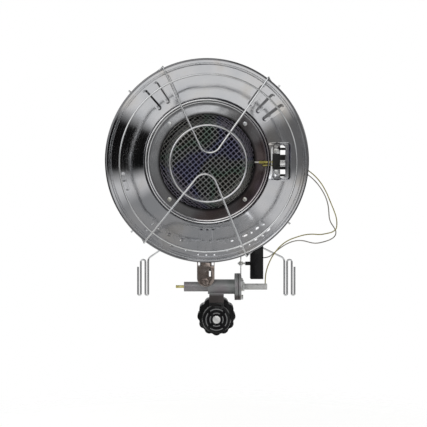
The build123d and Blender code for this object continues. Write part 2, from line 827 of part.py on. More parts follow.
def baffle_plate():
    low = cup_back + baffle_leg
    plate = rod(baffle_r, low, low + baffle_t)
    for angle in baffle_leg_angles:
        plate += Pos(*clock(angle, baffle_leg_ring)) * rod(baffle_leg_r, cup_back, low)
    return head_frame * plate


def leaning_cup(base_r, foot_z, height):
    """A thin cup of mesh with a foot ring, whose crown sits a little off its base."""
    shoulder_r = base_r - screen_taper
    sections = (
        (0, 0, base_r),
        (height, screen_lean, shoulder_r),
        (height + screen_crown, 1, shoulder_r - screen_round),
    )

    def skin(wall):
        outlines = []
        for level, lean, radius in sections:
            height_here = foot_z + level - (wall if level else 0)
            place = Pos(screen_shift[0] * lean, screen_shift[1] * lean, height_here)
            outlines.append(place * Circle(radius - wall))
        return loft(outlines, ruled=True)
    foot = ring(base_r + screen_foot, base_r - screen_t, foot_z, foot_z + screen_t)
    return head_frame * (skin(0) - skin(screen_t) + foot)


def cloth_openings():
    """A plain grid of square holes through the outer screen, along the head's axis."""
    pitch = screen_opening + screen_bar
    across = int(2 * screen_base_r / pitch)
    centre = Pos(*screen_shift, pan_floor_top + screen_t) * Rot(0, 0, screen_grid_turn)
    reach = screen_base_r - screen_bar - screen_opening / math.sqrt(2)
    places = [centre * cell for cell in GridLocations(pitch, pitch, across, across)]
    hole = Box(screen_opening, screen_opening, screen_height + screen_crown + through, align=LOW)
    return [place * hole for place in places
            if math.hypot(place.position.X, place.position.Y) < reach]


def outer_screen():
    screen = leaning_cup(screen_base_r, pan_floor_top, screen_height)
    return screen - [head_frame * hole for hole in cloth_openings()]


def inner_screen():
    """A finer screen inside the outer one, with its foot on the floor of the bowl."""
    return leaning_cup(inner_screen_base_r, floor_z, screen_height - inner_screen_gap)


def clamp_ring():
    low = pan_floor_top + screen_t
    outer = screen_base_r + screen_foot
    return head_frame * ring(outer, outer - clamp_ring_width + screen_t, low, low + clamp_ring_t)


# ---------------------------------------------------------------- guard
upper_z = guard_wire_r
rings_z = 3 * guard_wire_r
lower_z = 5 * guard_wire_r
hook_r = rim_r + guard_wire_r + guard_hook_gap
hook_z = -2 * rim_bead_r - guard_wire_r
behind_r = rim_r - rim_bead_r


def guard_ring(radius):
    return head_frame * Pos(*guard_centre, 0) * torus(radius, guard_wire_r, rings_z)


def rim_crossing(leg_angle):
    """Angle round the rim at which a leg from the guard's centre passes it."""
    turn = math.radians(leg_angle)
    across = guard_centre[0] * math.sin(turn) + guard_centre[1] * math.cos(turn)
    offset = math.hypot(*guard_centre) ** 2 - across ** 2
    reach = -across + math.sqrt(hook_r ** 2 - offset)
    x, y, _ = clock(leg_angle, reach, centre=guard_centre)
    return math.degrees(math.atan2(x, y)) % 360


def hook_points(leg_angle, nib_angle, height):
    """Points of a leg's end: over the rim, along its back and out again as a short nib."""
    start = rim_crossing(leg_angle)
    sweep_angle = nib_angle - start
    steps = max(2, round(abs(sweep_angle) / hook_step))
    points = [clock(start, hook_r, height), clock(start, hook_r, hook_z)]
    for n in range(1, steps + 1):
        points.append(clock(start + sweep_angle * n / steps, behind_r, hook_z))
    points.append(clock(nib_angle, rim_r + guard_nib, hook_z))
    return points


def guard_loop(leg_angles, nib_angles, height):
    """A bent wire with two legs, hooked over the rim at both ends."""
    first = hook_points(leg_angles[0], nib_angles[0], height)
    last = hook_points(leg_angles[1], nib_angles[1], height)
    points = list(reversed(first)) + [(*guard_centre, height)] + last
    radii = []
    for before, here, after in zip(points, points[1:], points[2:]):
        a, b = Vector(here) - Vector(before), Vector(after) - Vector(here)
        half_turn = math.tan(math.radians(a.get_angle(b)) / 2)
        room = arc_share * min(a.length, b.length) / half_turn
        radii.append(min(guard_bend, room))
    return head_frame * wire(points, radii, guard_wire_r)


# ---------------------------------------------------------------- support wire
tube_run = tube_knee - tube_low
run_length = tube_run.length
run_way = tube_run * (1 / run_length)
run_normal = Vector(0, run_way.Z, -run_way.Y)
clamp_centre = tube_low + run_way * clamp_up
stay_cross = clamp_centre + run_normal * (tube_r + clamp_band + stay_wire_r)
clamp_frame = Location(Plane(origin=clamp_centre, x_dir=(1, 0, 0), z_dir=run_way))


def support_wire(side):
    """One half of the support wire; side is -1 on the left and 1 on the right."""
    over = collar_gap + 2 * stay_wire_r
    start = Vector(outlet_x + side * slip_gap, stay_cross.Y, stay_cross.Z)
    flat = Vector(outlet_x + side * stay_flat, stay_cross.Y, stay_cross.Z)
    steps = [0, stay_loop, stay_loop + over, 2 * stay_loop + over]
    x = [side * (stay_half + step) for step in steps]
    points = [start, flat, (x[0], stay_y, stay_top_z), (x[0], stay_y, stay_low_z),
              (x[1], stay_y, stay_low_z), (x[1], stay_y, stay_over_z), (x[2], stay_y, stay_over_z),
              (x[2], stay_y, stay_low_z), (x[3], stay_y, stay_low_z), (x[3], stay_y, stay_end_z)]
    tight = arc_share * stay_loop
    wide = arc_share * over
    radii = [stay_loop, 2 * stay_loop, tight, tight, wide, wide, tight, tight]
    return wire(points, radii, stay_wire_r)


def wire_clamp():
    """A band round the burner tube with a block that grips both halves of the wire."""
    half = clamp_width / 2
    band = ring(tube_r + clamp_band, tube_r, -half, half)
    grip = tube_r + clamp_band + stay_wire_r
    body = band + block((-clamp_block / 2, tube_r + through, -half), (clamp_block / 2, grip + half, half))
    body -= rod(tube_r, -half - through, half + through)
    body -= Pos(-clamp_block, grip, 0) * Rot(0, 90, 0) * rod(stay_wire_r, 0, 2 * clamp_block)
    return clamp_frame * body


def clamp_screws():
    grip = tube_r + clamp_band + stay_wire_r
    seat = grip + clamp_width / 2
    screw = rod(clamp_screw_head_r, 0, clamp_screw_head)
    screw -= Pos(0, 0, clamp_screw_head) * Box(2 * clamp_screw_head_r, screw_slot, clamp_screw_head)
    place = clamp_block / 2 - clamp_screw_head_r
    return group([clamp_frame * Pos(side * place, seat, 0) * Rot(-90, 0, 0) * screw for side in (1, -1)])


# ---------------------------------------------------------------- tip-over switch
def tip_switch_bracket():
    half = switch_bracket_width / 2
    plate = valve_frame * rod(valve_flange_r, cover_right, bracket_right)
    plate += block((cover_right, valve_y - half, valve_z),
                   (bracket_right, valve_y + half, switch_bracket_top))
    plate = drilled_plate(plate, cover_right, bracket_right)
    return plate - stud_frame(cover_right - through) * rod(switch_stud_r, 0, switch_bracket_t + 2 * through)


def stud_frame(x):
    """The stud's axis, with +Z to the right."""
    return Pos(x, valve_y, switch_stud_z) * Rot(0, 90, 0)


def switch_stud():
    left = cover_right - switch_nut_t - switch_stud_tip
    return stud_frame(left) * rod(switch_stud_r, 0, switch_left - left)


def switch_nuts():
    bore = rod(switch_stud_r, -through, switch_nut_t + through)
    nut = hexagon(switch_nut_flats, 0, switch_nut_t) - bore
    return group([stud_frame(cover_right - switch_nut_t) * nut, stud_frame(bracket_right) * nut])


def tip_switch_case():
    case = block((switch_left, switch_front, switch_low),
                 (switch_right - switch_cover_t, switch_rear, switch_high))
    case -= block((switch_left + switch_wall, switch_front + switch_wall, switch_low + switch_wall),
                  (switch_right, switch_rear - switch_wall, switch_high - switch_wall))
    case += stud_frame(switch_left - switch_peg) * rod(switch_peg_r, 0, switch_peg)
    bore = rod(switch_stud_r, 0, switch_peg + through)
    return case - stud_frame(switch_left - switch_peg - through) * bore


def tip_switch_cover():
    return block((switch_right - switch_cover_t, switch_front, switch_low),
                 (switch_right, switch_rear, switch_high))


def switch_ball():
    return Pos(switch_middle, valve_y, switch_low + switch_wall + ball_r) * Sphere(ball_r)


def switch_contacts():
    top = switch_high - switch_wall
    pin = rod(contact_r, top - contact_length, top)
    return group([Pos(switch_middle, valve_y + side * contact_pitch, 0) * pin for side in (1, -1)])


# ---------------------------------------------------------------- leads
def lead(name, points, last):
    """A loose lead; each arc is as large as its two runs allow."""
    corners = [Vector(*point) for point in points] + [last]
    radii = []
    for before, here, after in zip(corners, corners[1:], corners[2:]):
        a, b = here - before, after - here
        half_turn = math.tan(math.radians(a.get_angle(b)) / 2)
        radii.append(arc_share * min(a.length, b.length) / half_turn)
    path = FilletPolyline(*corners, radius=radii)
    section = Plane(origin=path @ 0, z_dir=path % 0) * Circle(lead_r)
    tube = sweep(section, path=path)
    print(name, "length", round(path.length, 1), "smallest radius", round(min(radii), 1),
          "volume ratio", round(tube.volume / (math.pi * lead_r ** 2 * path.length), 4))
    print("  radii", [round(radius, 1) for radius in radii])
    return tube


yellow_end = (head_frame * Pos(probe_right, probe_y, probe_z)).position
grey_end = (head_frame * Pos(probe_right, return_y, probe_z)).position

# ---------------------------------------------------------------- the assembly
pieces = {
    "inlet_nipple": inlet_nipple(),
    "flow_limiter": flow_limiter(),
    "coupling_nut": coupling_nut(),
    "regulator_body": regulator_body(),
    "diaphragm": diaphragm(),
    "regulator_cover": regulator_cover(),
    "cover_screws": cover_screws(),
    "regulator_spring": regulator_spring(),
    "knob_stem": knob_stem(),
    "control_knob": control_knob(),
    "knob_cap": knob_cap(),
    "neck_gasket": neck_gasket(),
    "valve_body": valve_body(),
    "push_rod": push_rod(),
    "rod_seal": rod_seal(),
    "rod_spring": rod_spring(),
    "valve_disc": valve_disc(),
    "magnet_unit": magnet_unit(),
    "flange_gasket": flange_gasket(),
    "flange_cover": flange_cover(),
    "flange_screws": flange_screws(),
    "magnet_nut": magnet_nut(),
    "interrupter_sleeve": interrupter_sleeve(),
    "burner_bracket": burner_bracket(),
    "bracket_bolt": bracket_bolt(),
    "gas_jet": gas_jet(),
    "burner_tube": burner_tube(),
    "reflector_dish": reflector_dish(),
    "thermocouple_holder": thermocouple_holder(),
    "holder_screws": holder_screws(),
    "thermocouple_sleeve": probe_bar(probe_y, probe_sleeve_r, probe_sleeve_left, probe_right),
    "thermocouple_tip": probe_bar(probe_y, probe_tip_r, probe_sleeve_left - probe_tip, probe_sleeve_left),
    "return_rod": probe_bar(return_y, return_r, return_left, probe_right),
    "burner_pan": burner_pan(),
    "burner_cup": burner_cup(),
    "burner_rivets": burner_rivets(),
    "baffle_plate": baffle_plate(),
    "outer_screen": outer_screen(),
    "inner_screen": inner_screen(),
    "clamp_ring": clamp_ring(),
    "guard_outer_ring": guard_ring(guard_outer_r),
    "guard_inner_ring": guard_ring(guard_inner_r),
    "guard_upper_loop": guard_loop(upper_leg_angles, upper_nib_angles, upper_z),
    "guard_lower_loop": guard_loop(lower_leg_angles, lower_nib_angles, lower_z),
    "support_wire_left": support_wire(-1),
    "support_wire_right": support_wire(1),
    "wire_clamp": wire_clamp(),
    "clamp_screws": clamp_screws(),
    "tip_switch_bracket": tip_switch_bracket(),
    "switch_stud": switch_stud(),
    "switch_nuts": switch_nuts(),
    "tip_switch_case": tip_switch_case(),
    "tip_switch_cover": tip_switch_cover(),
    "switch_ball": switch_ball(),
    "switch_contacts": switch_contacts(),
    "lead_yellow": lead("yellow lead", yellow_lead_points, yellow_end),
    "lead_grey": lead("grey lead", grey_lead_points, grey_end),
}

os.makedirs("parts", exist_ok=True)
for name, piece in pieces.items():
    export_step(piece, f"parts/{name}.step")
print(len(pieces), "nodes written")
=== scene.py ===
import json
import math

import bmesh
import bpy
from mathutils import Matrix, Vector


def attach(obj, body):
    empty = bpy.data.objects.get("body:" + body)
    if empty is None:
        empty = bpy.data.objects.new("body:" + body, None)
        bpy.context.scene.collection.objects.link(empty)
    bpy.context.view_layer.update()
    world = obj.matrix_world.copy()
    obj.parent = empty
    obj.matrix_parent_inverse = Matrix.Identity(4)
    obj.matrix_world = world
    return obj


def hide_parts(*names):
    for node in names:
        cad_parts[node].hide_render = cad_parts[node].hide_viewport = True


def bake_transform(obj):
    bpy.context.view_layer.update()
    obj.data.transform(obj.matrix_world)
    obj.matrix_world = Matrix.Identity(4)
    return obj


# Finishes for a tank-top propane heater: a chromed reflector bowl with a wire-cloth burner and a
# wire guard, on a die-cast safety valve with a regulator, a knob and a black hand nut.
# Sizes below are in millimetres and are turned to metres by MM.

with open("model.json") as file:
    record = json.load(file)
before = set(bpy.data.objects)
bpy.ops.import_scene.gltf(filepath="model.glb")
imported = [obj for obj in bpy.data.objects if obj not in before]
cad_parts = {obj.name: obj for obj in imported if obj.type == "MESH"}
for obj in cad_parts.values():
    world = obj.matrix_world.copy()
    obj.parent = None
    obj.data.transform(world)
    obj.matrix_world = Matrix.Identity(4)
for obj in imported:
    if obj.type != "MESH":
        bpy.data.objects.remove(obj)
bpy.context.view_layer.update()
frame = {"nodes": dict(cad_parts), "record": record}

MM = 0.001
FULL_TURN = 2 * math.pi

# The head's own frame: origin at the rim's centre, +Z out of the bowl, +Y up, +X right
HEAD_CENTRE = Vector((-15.5, -70.0, 256.0)) * MM
HEAD_TURN = math.radians(93.0)
HEAD = Matrix.Translation(HEAD_CENTRE) @ Matrix.Rotation(HEAD_TURN, 4, "X")


# ---------------------------------------------------------------- camera
CAMERA_PLACE = Vector((-4.9, -1259.0, 171.4)) * MM
FOCAL_PX = 737.0        # focal length in pixels of the image
IMAGE_PX = 427.0
SENSOR_WIDTH = 36.0


def place_camera():
    """A level camera that looks along +Y."""
    lens = bpy.data.cameras.new("camera")
    lens.sensor_width = SENSOR_WIDTH
    lens.lens = SENSOR_WIDTH * FOCAL_PX / IMAGE_PX
    camera = bpy.data.objects.new("camera", lens)
    camera.location = CAMERA_PLACE
    camera.rotation_euler = (math.radians(90.0), 0.0, 0.0)
    bpy.context.scene.collection.objects.link(camera)
    bpy.context.scene.camera = camera


place_camera()


# ---------------------------------------------------------------- leads
LEAD_DIAMETER = 1.8
YELLOW_ROUTE = (
    (80.5, -42, 55.7), (80.5, -42, 68), (83.5, -43.5, 82), (89, -46, 96), (97, -47, 109),
    (107, -46, 120), (120, -45, 128.4), (133.5, -44, 133), (146, -44, 136.6),
    (158.5, -45, 137.6), (170.7, -45, 136.4), (182.2, -45, 138.6), (190.8, -45, 140.6),
    (197.2, -45, 145.2), (198.6, -45, 154.1), (197.4, -45, 165.6), (192.9, -45, 178),
    (187.2, -46, 191.2), (181.4, -47, 205.2), (173.2, -48, 219.7), (163.3, -48, 231.9),
    (152, -45, 242), (139, -36, 250.5), (128, -24.46, 257.385), (117.5, -24.41, 257.388),
)
GREY_ROUTE = (
    (76.5, -36, 98), (86, -36, 98), (96, -37, 106.5), (107, -38, 115.6),
    (119.6, -38, 123), (132.8, -38, 126.9), (145.1, -38, 126.4), (155.8, -38, 123),
    (165.7, -38, 121.8), (177.3, -38, 124.2), (188.8, -38, 128), (196.8, -38, 133.8),
    (198.4, -38, 141.4), (194.6, -38, 148.6), (189.8, -38, 155.4), (186.8, -38, 163.5),
    (186.2, -38, 174.5), (184.6, -39, 187.5), (179.6, -40, 201.5), (170.8, -41, 216),
    (160.5, -41, 228), (149, -39, 237.5), (138, -32, 246), (128, -24.13, 252.093),
    (117.5, -24.133, 252.095),
)


def lead(name, route, node):
    """A loose thermocouple lead on one smooth spline."""
    curve = bpy.data.curves.new(name, "CURVE")
    curve.dimensions = "3D"
    # The depth is times each point's radius, which Blender also adds to the curve's box
    curve.bevel_depth = 1.0
    curve.bevel_resolution = 3
    curve.use_fill_caps = True
    spline = curve.splines.new("NURBS")
    spline.points.add(len(route) - 1)
    for point, place in zip(spline.points, route):
        point.co = (*(Vector(place) * MM), 1.0)
        point.radius = LEAD_DIAMETER / 2 * MM
    spline.order_u = 3
    spline.use_endpoint_u = True
    piece = bpy.data.objects.new(name, curve)
    bpy.context.scene.collection.objects.link(piece)
    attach(piece, "heater")
    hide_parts(node)
    return piece


yellow_wire = lead("yellow_lead_wire", YELLOW_ROUTE, "lead_yellow")
grey_wire = lead("grey_lead_wire", GREY_ROUTE, "lead_grey")


# ---------------------------------------------------------------- material helpers
def srgb(code):
    """Turns an sRGB hex value into a linear colour."""
    parts = [int(code[i:i + 2], 16) / 255 for i in (1, 3, 5)]
    return [c / 12.92 if c <= 0.04045 else ((c + 0.055) / 1.055) ** 2.4 for c in parts] + [1.0]


def add(tree, kind, inputs=None, ramp=None, **settings):
    """Adds a node with its settings, its colour stops and its inputs, each a value or a link."""
    made = tree.nodes.new(kind)
    for key, value in settings.items():
        setattr(made, key, value)
    if ramp:
        stops = made.color_ramp.elements
        stops.remove(stops[1])
        stops[0].position, stops[0].color = ramp[0][0], srgb(ramp[0][1])
        for place, colour in ramp[1:]:
            stops.new(place).color = srgb(colour)
    for key, value in (inputs or {}).items():
        if isinstance(value, bpy.types.NodeSocket):
            tree.links.new(value, made.inputs[key])
        else:
            made.inputs[key].default_value = value
    return made


def start_material(name, place=Vector((0, 0, 0)), turn=(0, 0, 0), **sockets):
    """A material, its tree, its shader and coordinates in the piece's own frame."""
    material = bpy.data.materials.new(name)
    material.use_nodes = True
    tree = material.node_tree
    shader = tree.nodes["Principled BSDF"]
    for key, value in sockets.items():
        shader.inputs[key.replace("_", " ")].default_value = value
    coordinates = add(tree, "ShaderNodeTexCoord")
    mapping = add(tree, "ShaderNodeMapping", {
        "Vector": coordinates.outputs["Object"], "Location": place, "Rotation": turn,
    }, vector_type="TEXTURE")
    return material, tree, shader, mapping.outputs["Vector"]


def per_mm(size):
    """The texture scale at which one feature is about this many millimetres."""
    return 1.0 / (size * MM)


# Sockets of the Mix node when it mixes colours
MIX_SHARE, MIX_LOW, MIX_HIGH, MIX_RESULT = 0, 6, 7, 2


def zoned(tree, place, span, before, after):
    """Passes smoothly from one colour to another where a place runs over a span in mm."""
    share = add(tree, "ShaderNodeMapRange", {
        "Value": place, "From Min": span[0] * MM, "From Max": span[1] * MM},
        interpolation_type="SMOOTHSTEP")
    mixed = add(tree, "ShaderNodeMix", {
        MIX_SHARE: share.outputs["Result"], MIX_LOW: before, MIX_HIGH: after}, data_type="RGBA")
    return mixed.outputs[MIX_RESULT]


def spread(colours, first, span):
    """Colour stops at even steps over the values that a noise takes."""
    return [(first + span * i / (len(colours) - 1), colour) for i, colour in enumerate(colours)]


def head_radius(tree, spot):
    """The parts of a place in the head's frame, and its distance from the head's axis."""
    parts = add(tree, "ShaderNodeSeparateXYZ", {"Vector": spot})
    across = add(tree, "ShaderNodeCombineXYZ", {"X": parts.outputs["X"], "Y": parts.outputs["Y"]})
    radius = add(tree, "ShaderNodeVectorMath", {0: across.outputs["Vector"]}, operation="LENGTH")
    return parts, radius.outputs["Value"]


def surface(name, colours, patch_mm, rough, smudge_mm, grain_mm, grain_height, zone=None, **start):
    """A finish whose colour drifts in patches and roughness in smudges, with a fine grain.

    A zone (axis, first mm, last mm, colour) brings in another colour along an axis of the object.
    """
    material, tree, shader, spot = start_material(name, **start)
    patches = add(tree, "ShaderNodeTexNoise", {
        "Vector": spot, "Scale": per_mm(patch_mm), "Detail": 3.0})
    drift = add(tree, "ShaderNodeValToRGB", {"Fac": patches.outputs["Fac"]},
                ramp=spread(colours, 0.32, 0.36))
    tone = drift.outputs["Color"]
    if zone:
        axis, first, last, colour = zone
        parts = add(tree, "ShaderNodeSeparateXYZ", {"Vector": spot})
        tone = zoned(tree, parts.outputs[axis], (first, last), tone, srgb(colour))
    tree.links.new(tone, shader.inputs["Base Color"])
    smudges = add(tree, "ShaderNodeTexNoise", {
        "Vector": spot, "Scale": per_mm(smudge_mm), "Detail": 4.0})
    dulling = add(tree, "ShaderNodeMapRange", {
        "Value": smudges.outputs["Fac"], "From Min": 0.35, "From Max": 0.65,
        "To Min": rough[0], "To Max": rough[1],
    })
    tree.links.new(dulling.outputs["Result"], shader.inputs["Roughness"])
    grain = add(tree, "ShaderNodeTexNoise", {
        "Vector": spot, "Scale": per_mm(grain_mm), "Detail": 2.0})
    bump = add(tree, "ShaderNodeBump", {
        "Height": grain.outputs["Fac"], "Strength": 1.0, "Distance": grain_height * MM,
    })
    tree.links.new(bump.outputs["Normal"], shader.inputs["Normal"])
    return material


# ---------------------------------------------------------------- materials
# Distances from the head's axis, in mm, over which a finish, a painted shade or a painted highlight
# passes into another
RECESS_PAINTED_SHADE = (84.0, 92.0)     # painted shade: the reflector is dark inside this, behind the burner
RIM_PAINTED_SHADE = (160.5, 163.0)      # painted shade: its curled edge is darker than its bowl
PAN_PAINTED_SHADE = (80.0, 86.0)        # painted shade: the pan is dark under the screen
PAN_CURL_HIGHLIGHT = (98.0, 101.0)        # painted highlight: its curled edge is bright
PAN_HIGHLIGHT_FADE = (20.0, 95.0)    # and the painted highlight is weaker towards the right, by X
SCREEN_SKIRT = (62.0, 72.0)     # the cloth is sooty on its steep side
CLOTH_BLOOM = 260.0             # how fast the cloth's oxide changes, per square metre


def chromed_steel():
    """Deep-drawn steel, polished and chromed: near-mirror with faint spinning rings and haze.

    Painted shade makes it dark behind the burner, and painted shade darkens its curled edge below
    the bowl's tone.
    """
    material, tree, shader, spot = start_material(
        "chromed_spun_steel", HEAD_CENTRE, (HEAD_TURN, 0, 0), Metallic=1.0)
    _, radius = head_radius(tree, spot)
    ring_place = add(tree, "ShaderNodeCombineXYZ", {"X": radius})
    rings = add(tree, "ShaderNodeTexNoise", {
        "Vector": ring_place.outputs["Vector"], "Scale": per_mm(2.4), "Detail": 4.0})
    haze = add(tree, "ShaderNodeTexNoise", {"Vector": spot, "Scale": per_mm(55), "Detail": 5.0})
    tint = add(tree, "ShaderNodeValToRGB", {"Fac": haze.outputs["Fac"]},
               ramp=[(0.3, "#c3c5c9"), (0.55, "#cfcfd1"), (0.72, "#cbc7c2")])
    # painted shade: the bowl turns near black behind the burner
    tone = zoned(tree, radius, RECESS_PAINTED_SHADE, srgb("#232222"), tint.outputs["Color"])
    # painted shade: the curled edge is darkened to a mid grey
    tone = zoned(tree, radius, RIM_PAINTED_SHADE, tone, srgb("#7a7a7c"))
    tree.links.new(tone, shader.inputs["Base Color"])
    dull = add(tree, "ShaderNodeMath", {0: rings.outputs["Fac"], 1: haze.outputs["Fac"]},
               operation="ADD")
    roughness = add(tree, "ShaderNodeMapRange", {
        "Value": dull.outputs["Value"], "From Min": 0.8, "From Max": 1.2,
        "To Min": 0.07, "To Max": 0.14})
    tree.links.new(roughness.outputs["Result"], shader.inputs["Roughness"])
    waves = add(tree, "ShaderNodeTexNoise", {"Vector": spot, "Scale": per_mm(48), "Detail": 1.0})
    wavy = add(tree, "ShaderNodeBump", {
        "Height": waves.outputs["Fac"], "Strength": 1.0, "Distance": 0.5 * MM})
    turned = add(tree, "ShaderNodeBump", {
        "Height": rings.outputs["Fac"], "Strength": 1.0, "Distance": 0.012 * MM,
        "Normal": wavy.outputs["Normal"]})
    tree.links.new(turned.outputs["Normal"], shader.inputs["Normal"])
    return material


def heat_tinted_steel():
    """Bright steel that has run hot: grey with violet and brown oxide at the right and below.

    Painted shade darkens it under the screen, and a painted highlight brightens its curled upper
    edge, most of all at the left.
    """
    material, tree, shader, spot = start_material(
        "heat_tinted_steel", HEAD_CENTRE, (HEAD_TURN, 0, 0), Metallic=1.0)
    parts, radius = head_radius(tree, spot)
    clouds = add(tree, "ShaderNodeTexNoise", {"Vector": spot, "Scale": per_mm(70), "Detail": 2.0})
    low = add(tree, "ShaderNodeMath", {0: parts.outputs["Y"], 1: -1.6, 2: clouds.outputs["Fac"]},
              operation="MULTIPLY_ADD")
    side = add(tree, "ShaderNodeMath", {0: parts.outputs["X"], 1: 2.4, 2: low.outputs["Value"]},
               operation="MULTIPLY_ADD")
    tint = add(tree, "ShaderNodeValToRGB", {"Fac": side.outputs["Value"]},
               ramp=[(0.25, "#aeafb1"), (0.48, "#9c9b9c"), (0.6, "#868183"), (0.7, "#6f6362"),
                     (0.8, "#695d64"), (0.92, "#7c7977")])
    # painted shade: the pan turns near black under the screen
    tone = zoned(tree, radius, PAN_PAINTED_SHADE, srgb("#2b2a2a"), tint.outputs["Color"])
    # painted highlight: the curled edge turns near white, less so towards the right
    curl = add(tree, "ShaderNodeMapRange", {
        "Value": radius, "From Min": PAN_CURL_HIGHLIGHT[0] * MM, "From Max": PAN_CURL_HIGHLIGHT[1] * MM},
        interpolation_type="SMOOTHSTEP")
    highlight_fade = add(tree, "ShaderNodeMapRange", {
        "Value": parts.outputs["X"], "From Min": PAN_HIGHLIGHT_FADE[0] * MM,
        "From Max": PAN_HIGHLIGHT_FADE[1] * MM, "To Min": 1.0, "To Max": 0.25})
    share = add(tree, "ShaderNodeMath", {0: curl.outputs["Result"], 1: highlight_fade.outputs["Result"]},
                operation="MULTIPLY")
    mixed = add(tree, "ShaderNodeMix", {
        MIX_SHARE: share.outputs["Value"], MIX_LOW: tone, MIX_HIGH: srgb("#eeeeef")},
        data_type="RGBA")
    tree.links.new(mixed.outputs[MIX_RESULT], shader.inputs["Base Color"])
    grime = add(tree, "ShaderNodeTexNoise", {"Vector": spot, "Scale": per_mm(26), "Detail": 1.0})
    roughness = add(tree, "ShaderNodeMapRange", {
        "Value": grime.outputs["Fac"], "From Min": 0.3, "From Max": 0.7,
        "To Min": 0.09, "To Max": 0.17})
    tree.links.new(roughness.outputs["Result"], shader.inputs["Roughness"])
    bump = add(tree, "ShaderNodeBump", {
        "Height": grime.outputs["Fac"], "Strength": 1.0, "Distance": 0.12 * MM})
    tree.links.new(bump.outputs["Normal"], shader.inputs["Normal"])
    return material


def screen_wire(name, tones, roughness):
    """Heat-resisting steel wire cloth; its oxide runs from green to blue in opposite quarters."""
    material, tree, shader, spot = start_material(
        name, HEAD_CENTRE, (HEAD_TURN, 0, 0), Metallic=1.0, Roughness=roughness)
    parts, radius = head_radius(tree, spot)
    quarter = add(tree, "ShaderNodeMath", {0: parts.outputs["X"], 1: parts.outputs["Y"]},
                  operation="MULTIPLY")
    clouds = add(tree, "ShaderNodeTexNoise", {"Vector": spot, "Scale": per_mm(45), "Detail": 1.0})
    bloom = add(tree, "ShaderNodeMath", {
        0: quarter.outputs["Value"], 1: CLOTH_BLOOM, 2: clouds.outputs["Fac"]},
        operation="MULTIPLY_ADD")
    tint = add(tree, "ShaderNodeValToRGB", {"Fac": bloom.outputs["Value"]},
               ramp=spread(tones, 0.22, 0.56))
    skirt = add(tree, "ShaderNodeMapRange", {
        "Value": radius, "From Min": SCREEN_SKIRT[0] * MM, "From Max": SCREEN_SKIRT[1] * MM,
        "To Max": 0.25})
    sooted = add(tree, "ShaderNodeMix", {
        MIX_SHARE: skirt.outputs["Result"], MIX_LOW: tint.outputs["Color"],
        MIX_HIGH: srgb("#3c3c3c")}, data_type="RGBA")
    tree.links.new(sooted.outputs[MIX_RESULT], shader.inputs["Base Color"])
    drawn = add(tree, "ShaderNodeTexNoise", {"Vector": spot, "Scale": per_mm(1.5), "Detail": 2.0})
    bump = add(tree, "ShaderNodeBump", {
        "Height": drawn.outputs["Fac"], "Strength": 1.0, "Distance": 0.03 * MM})
    tree.links.new(bump.outputs["Normal"], shader.inputs["Normal"])
    return material


# The knob's front face, in mm along Y
KNOB_FACE = min(vert.co.y for vert in frame["nodes"]["control_knob"].data.vertices) / MM

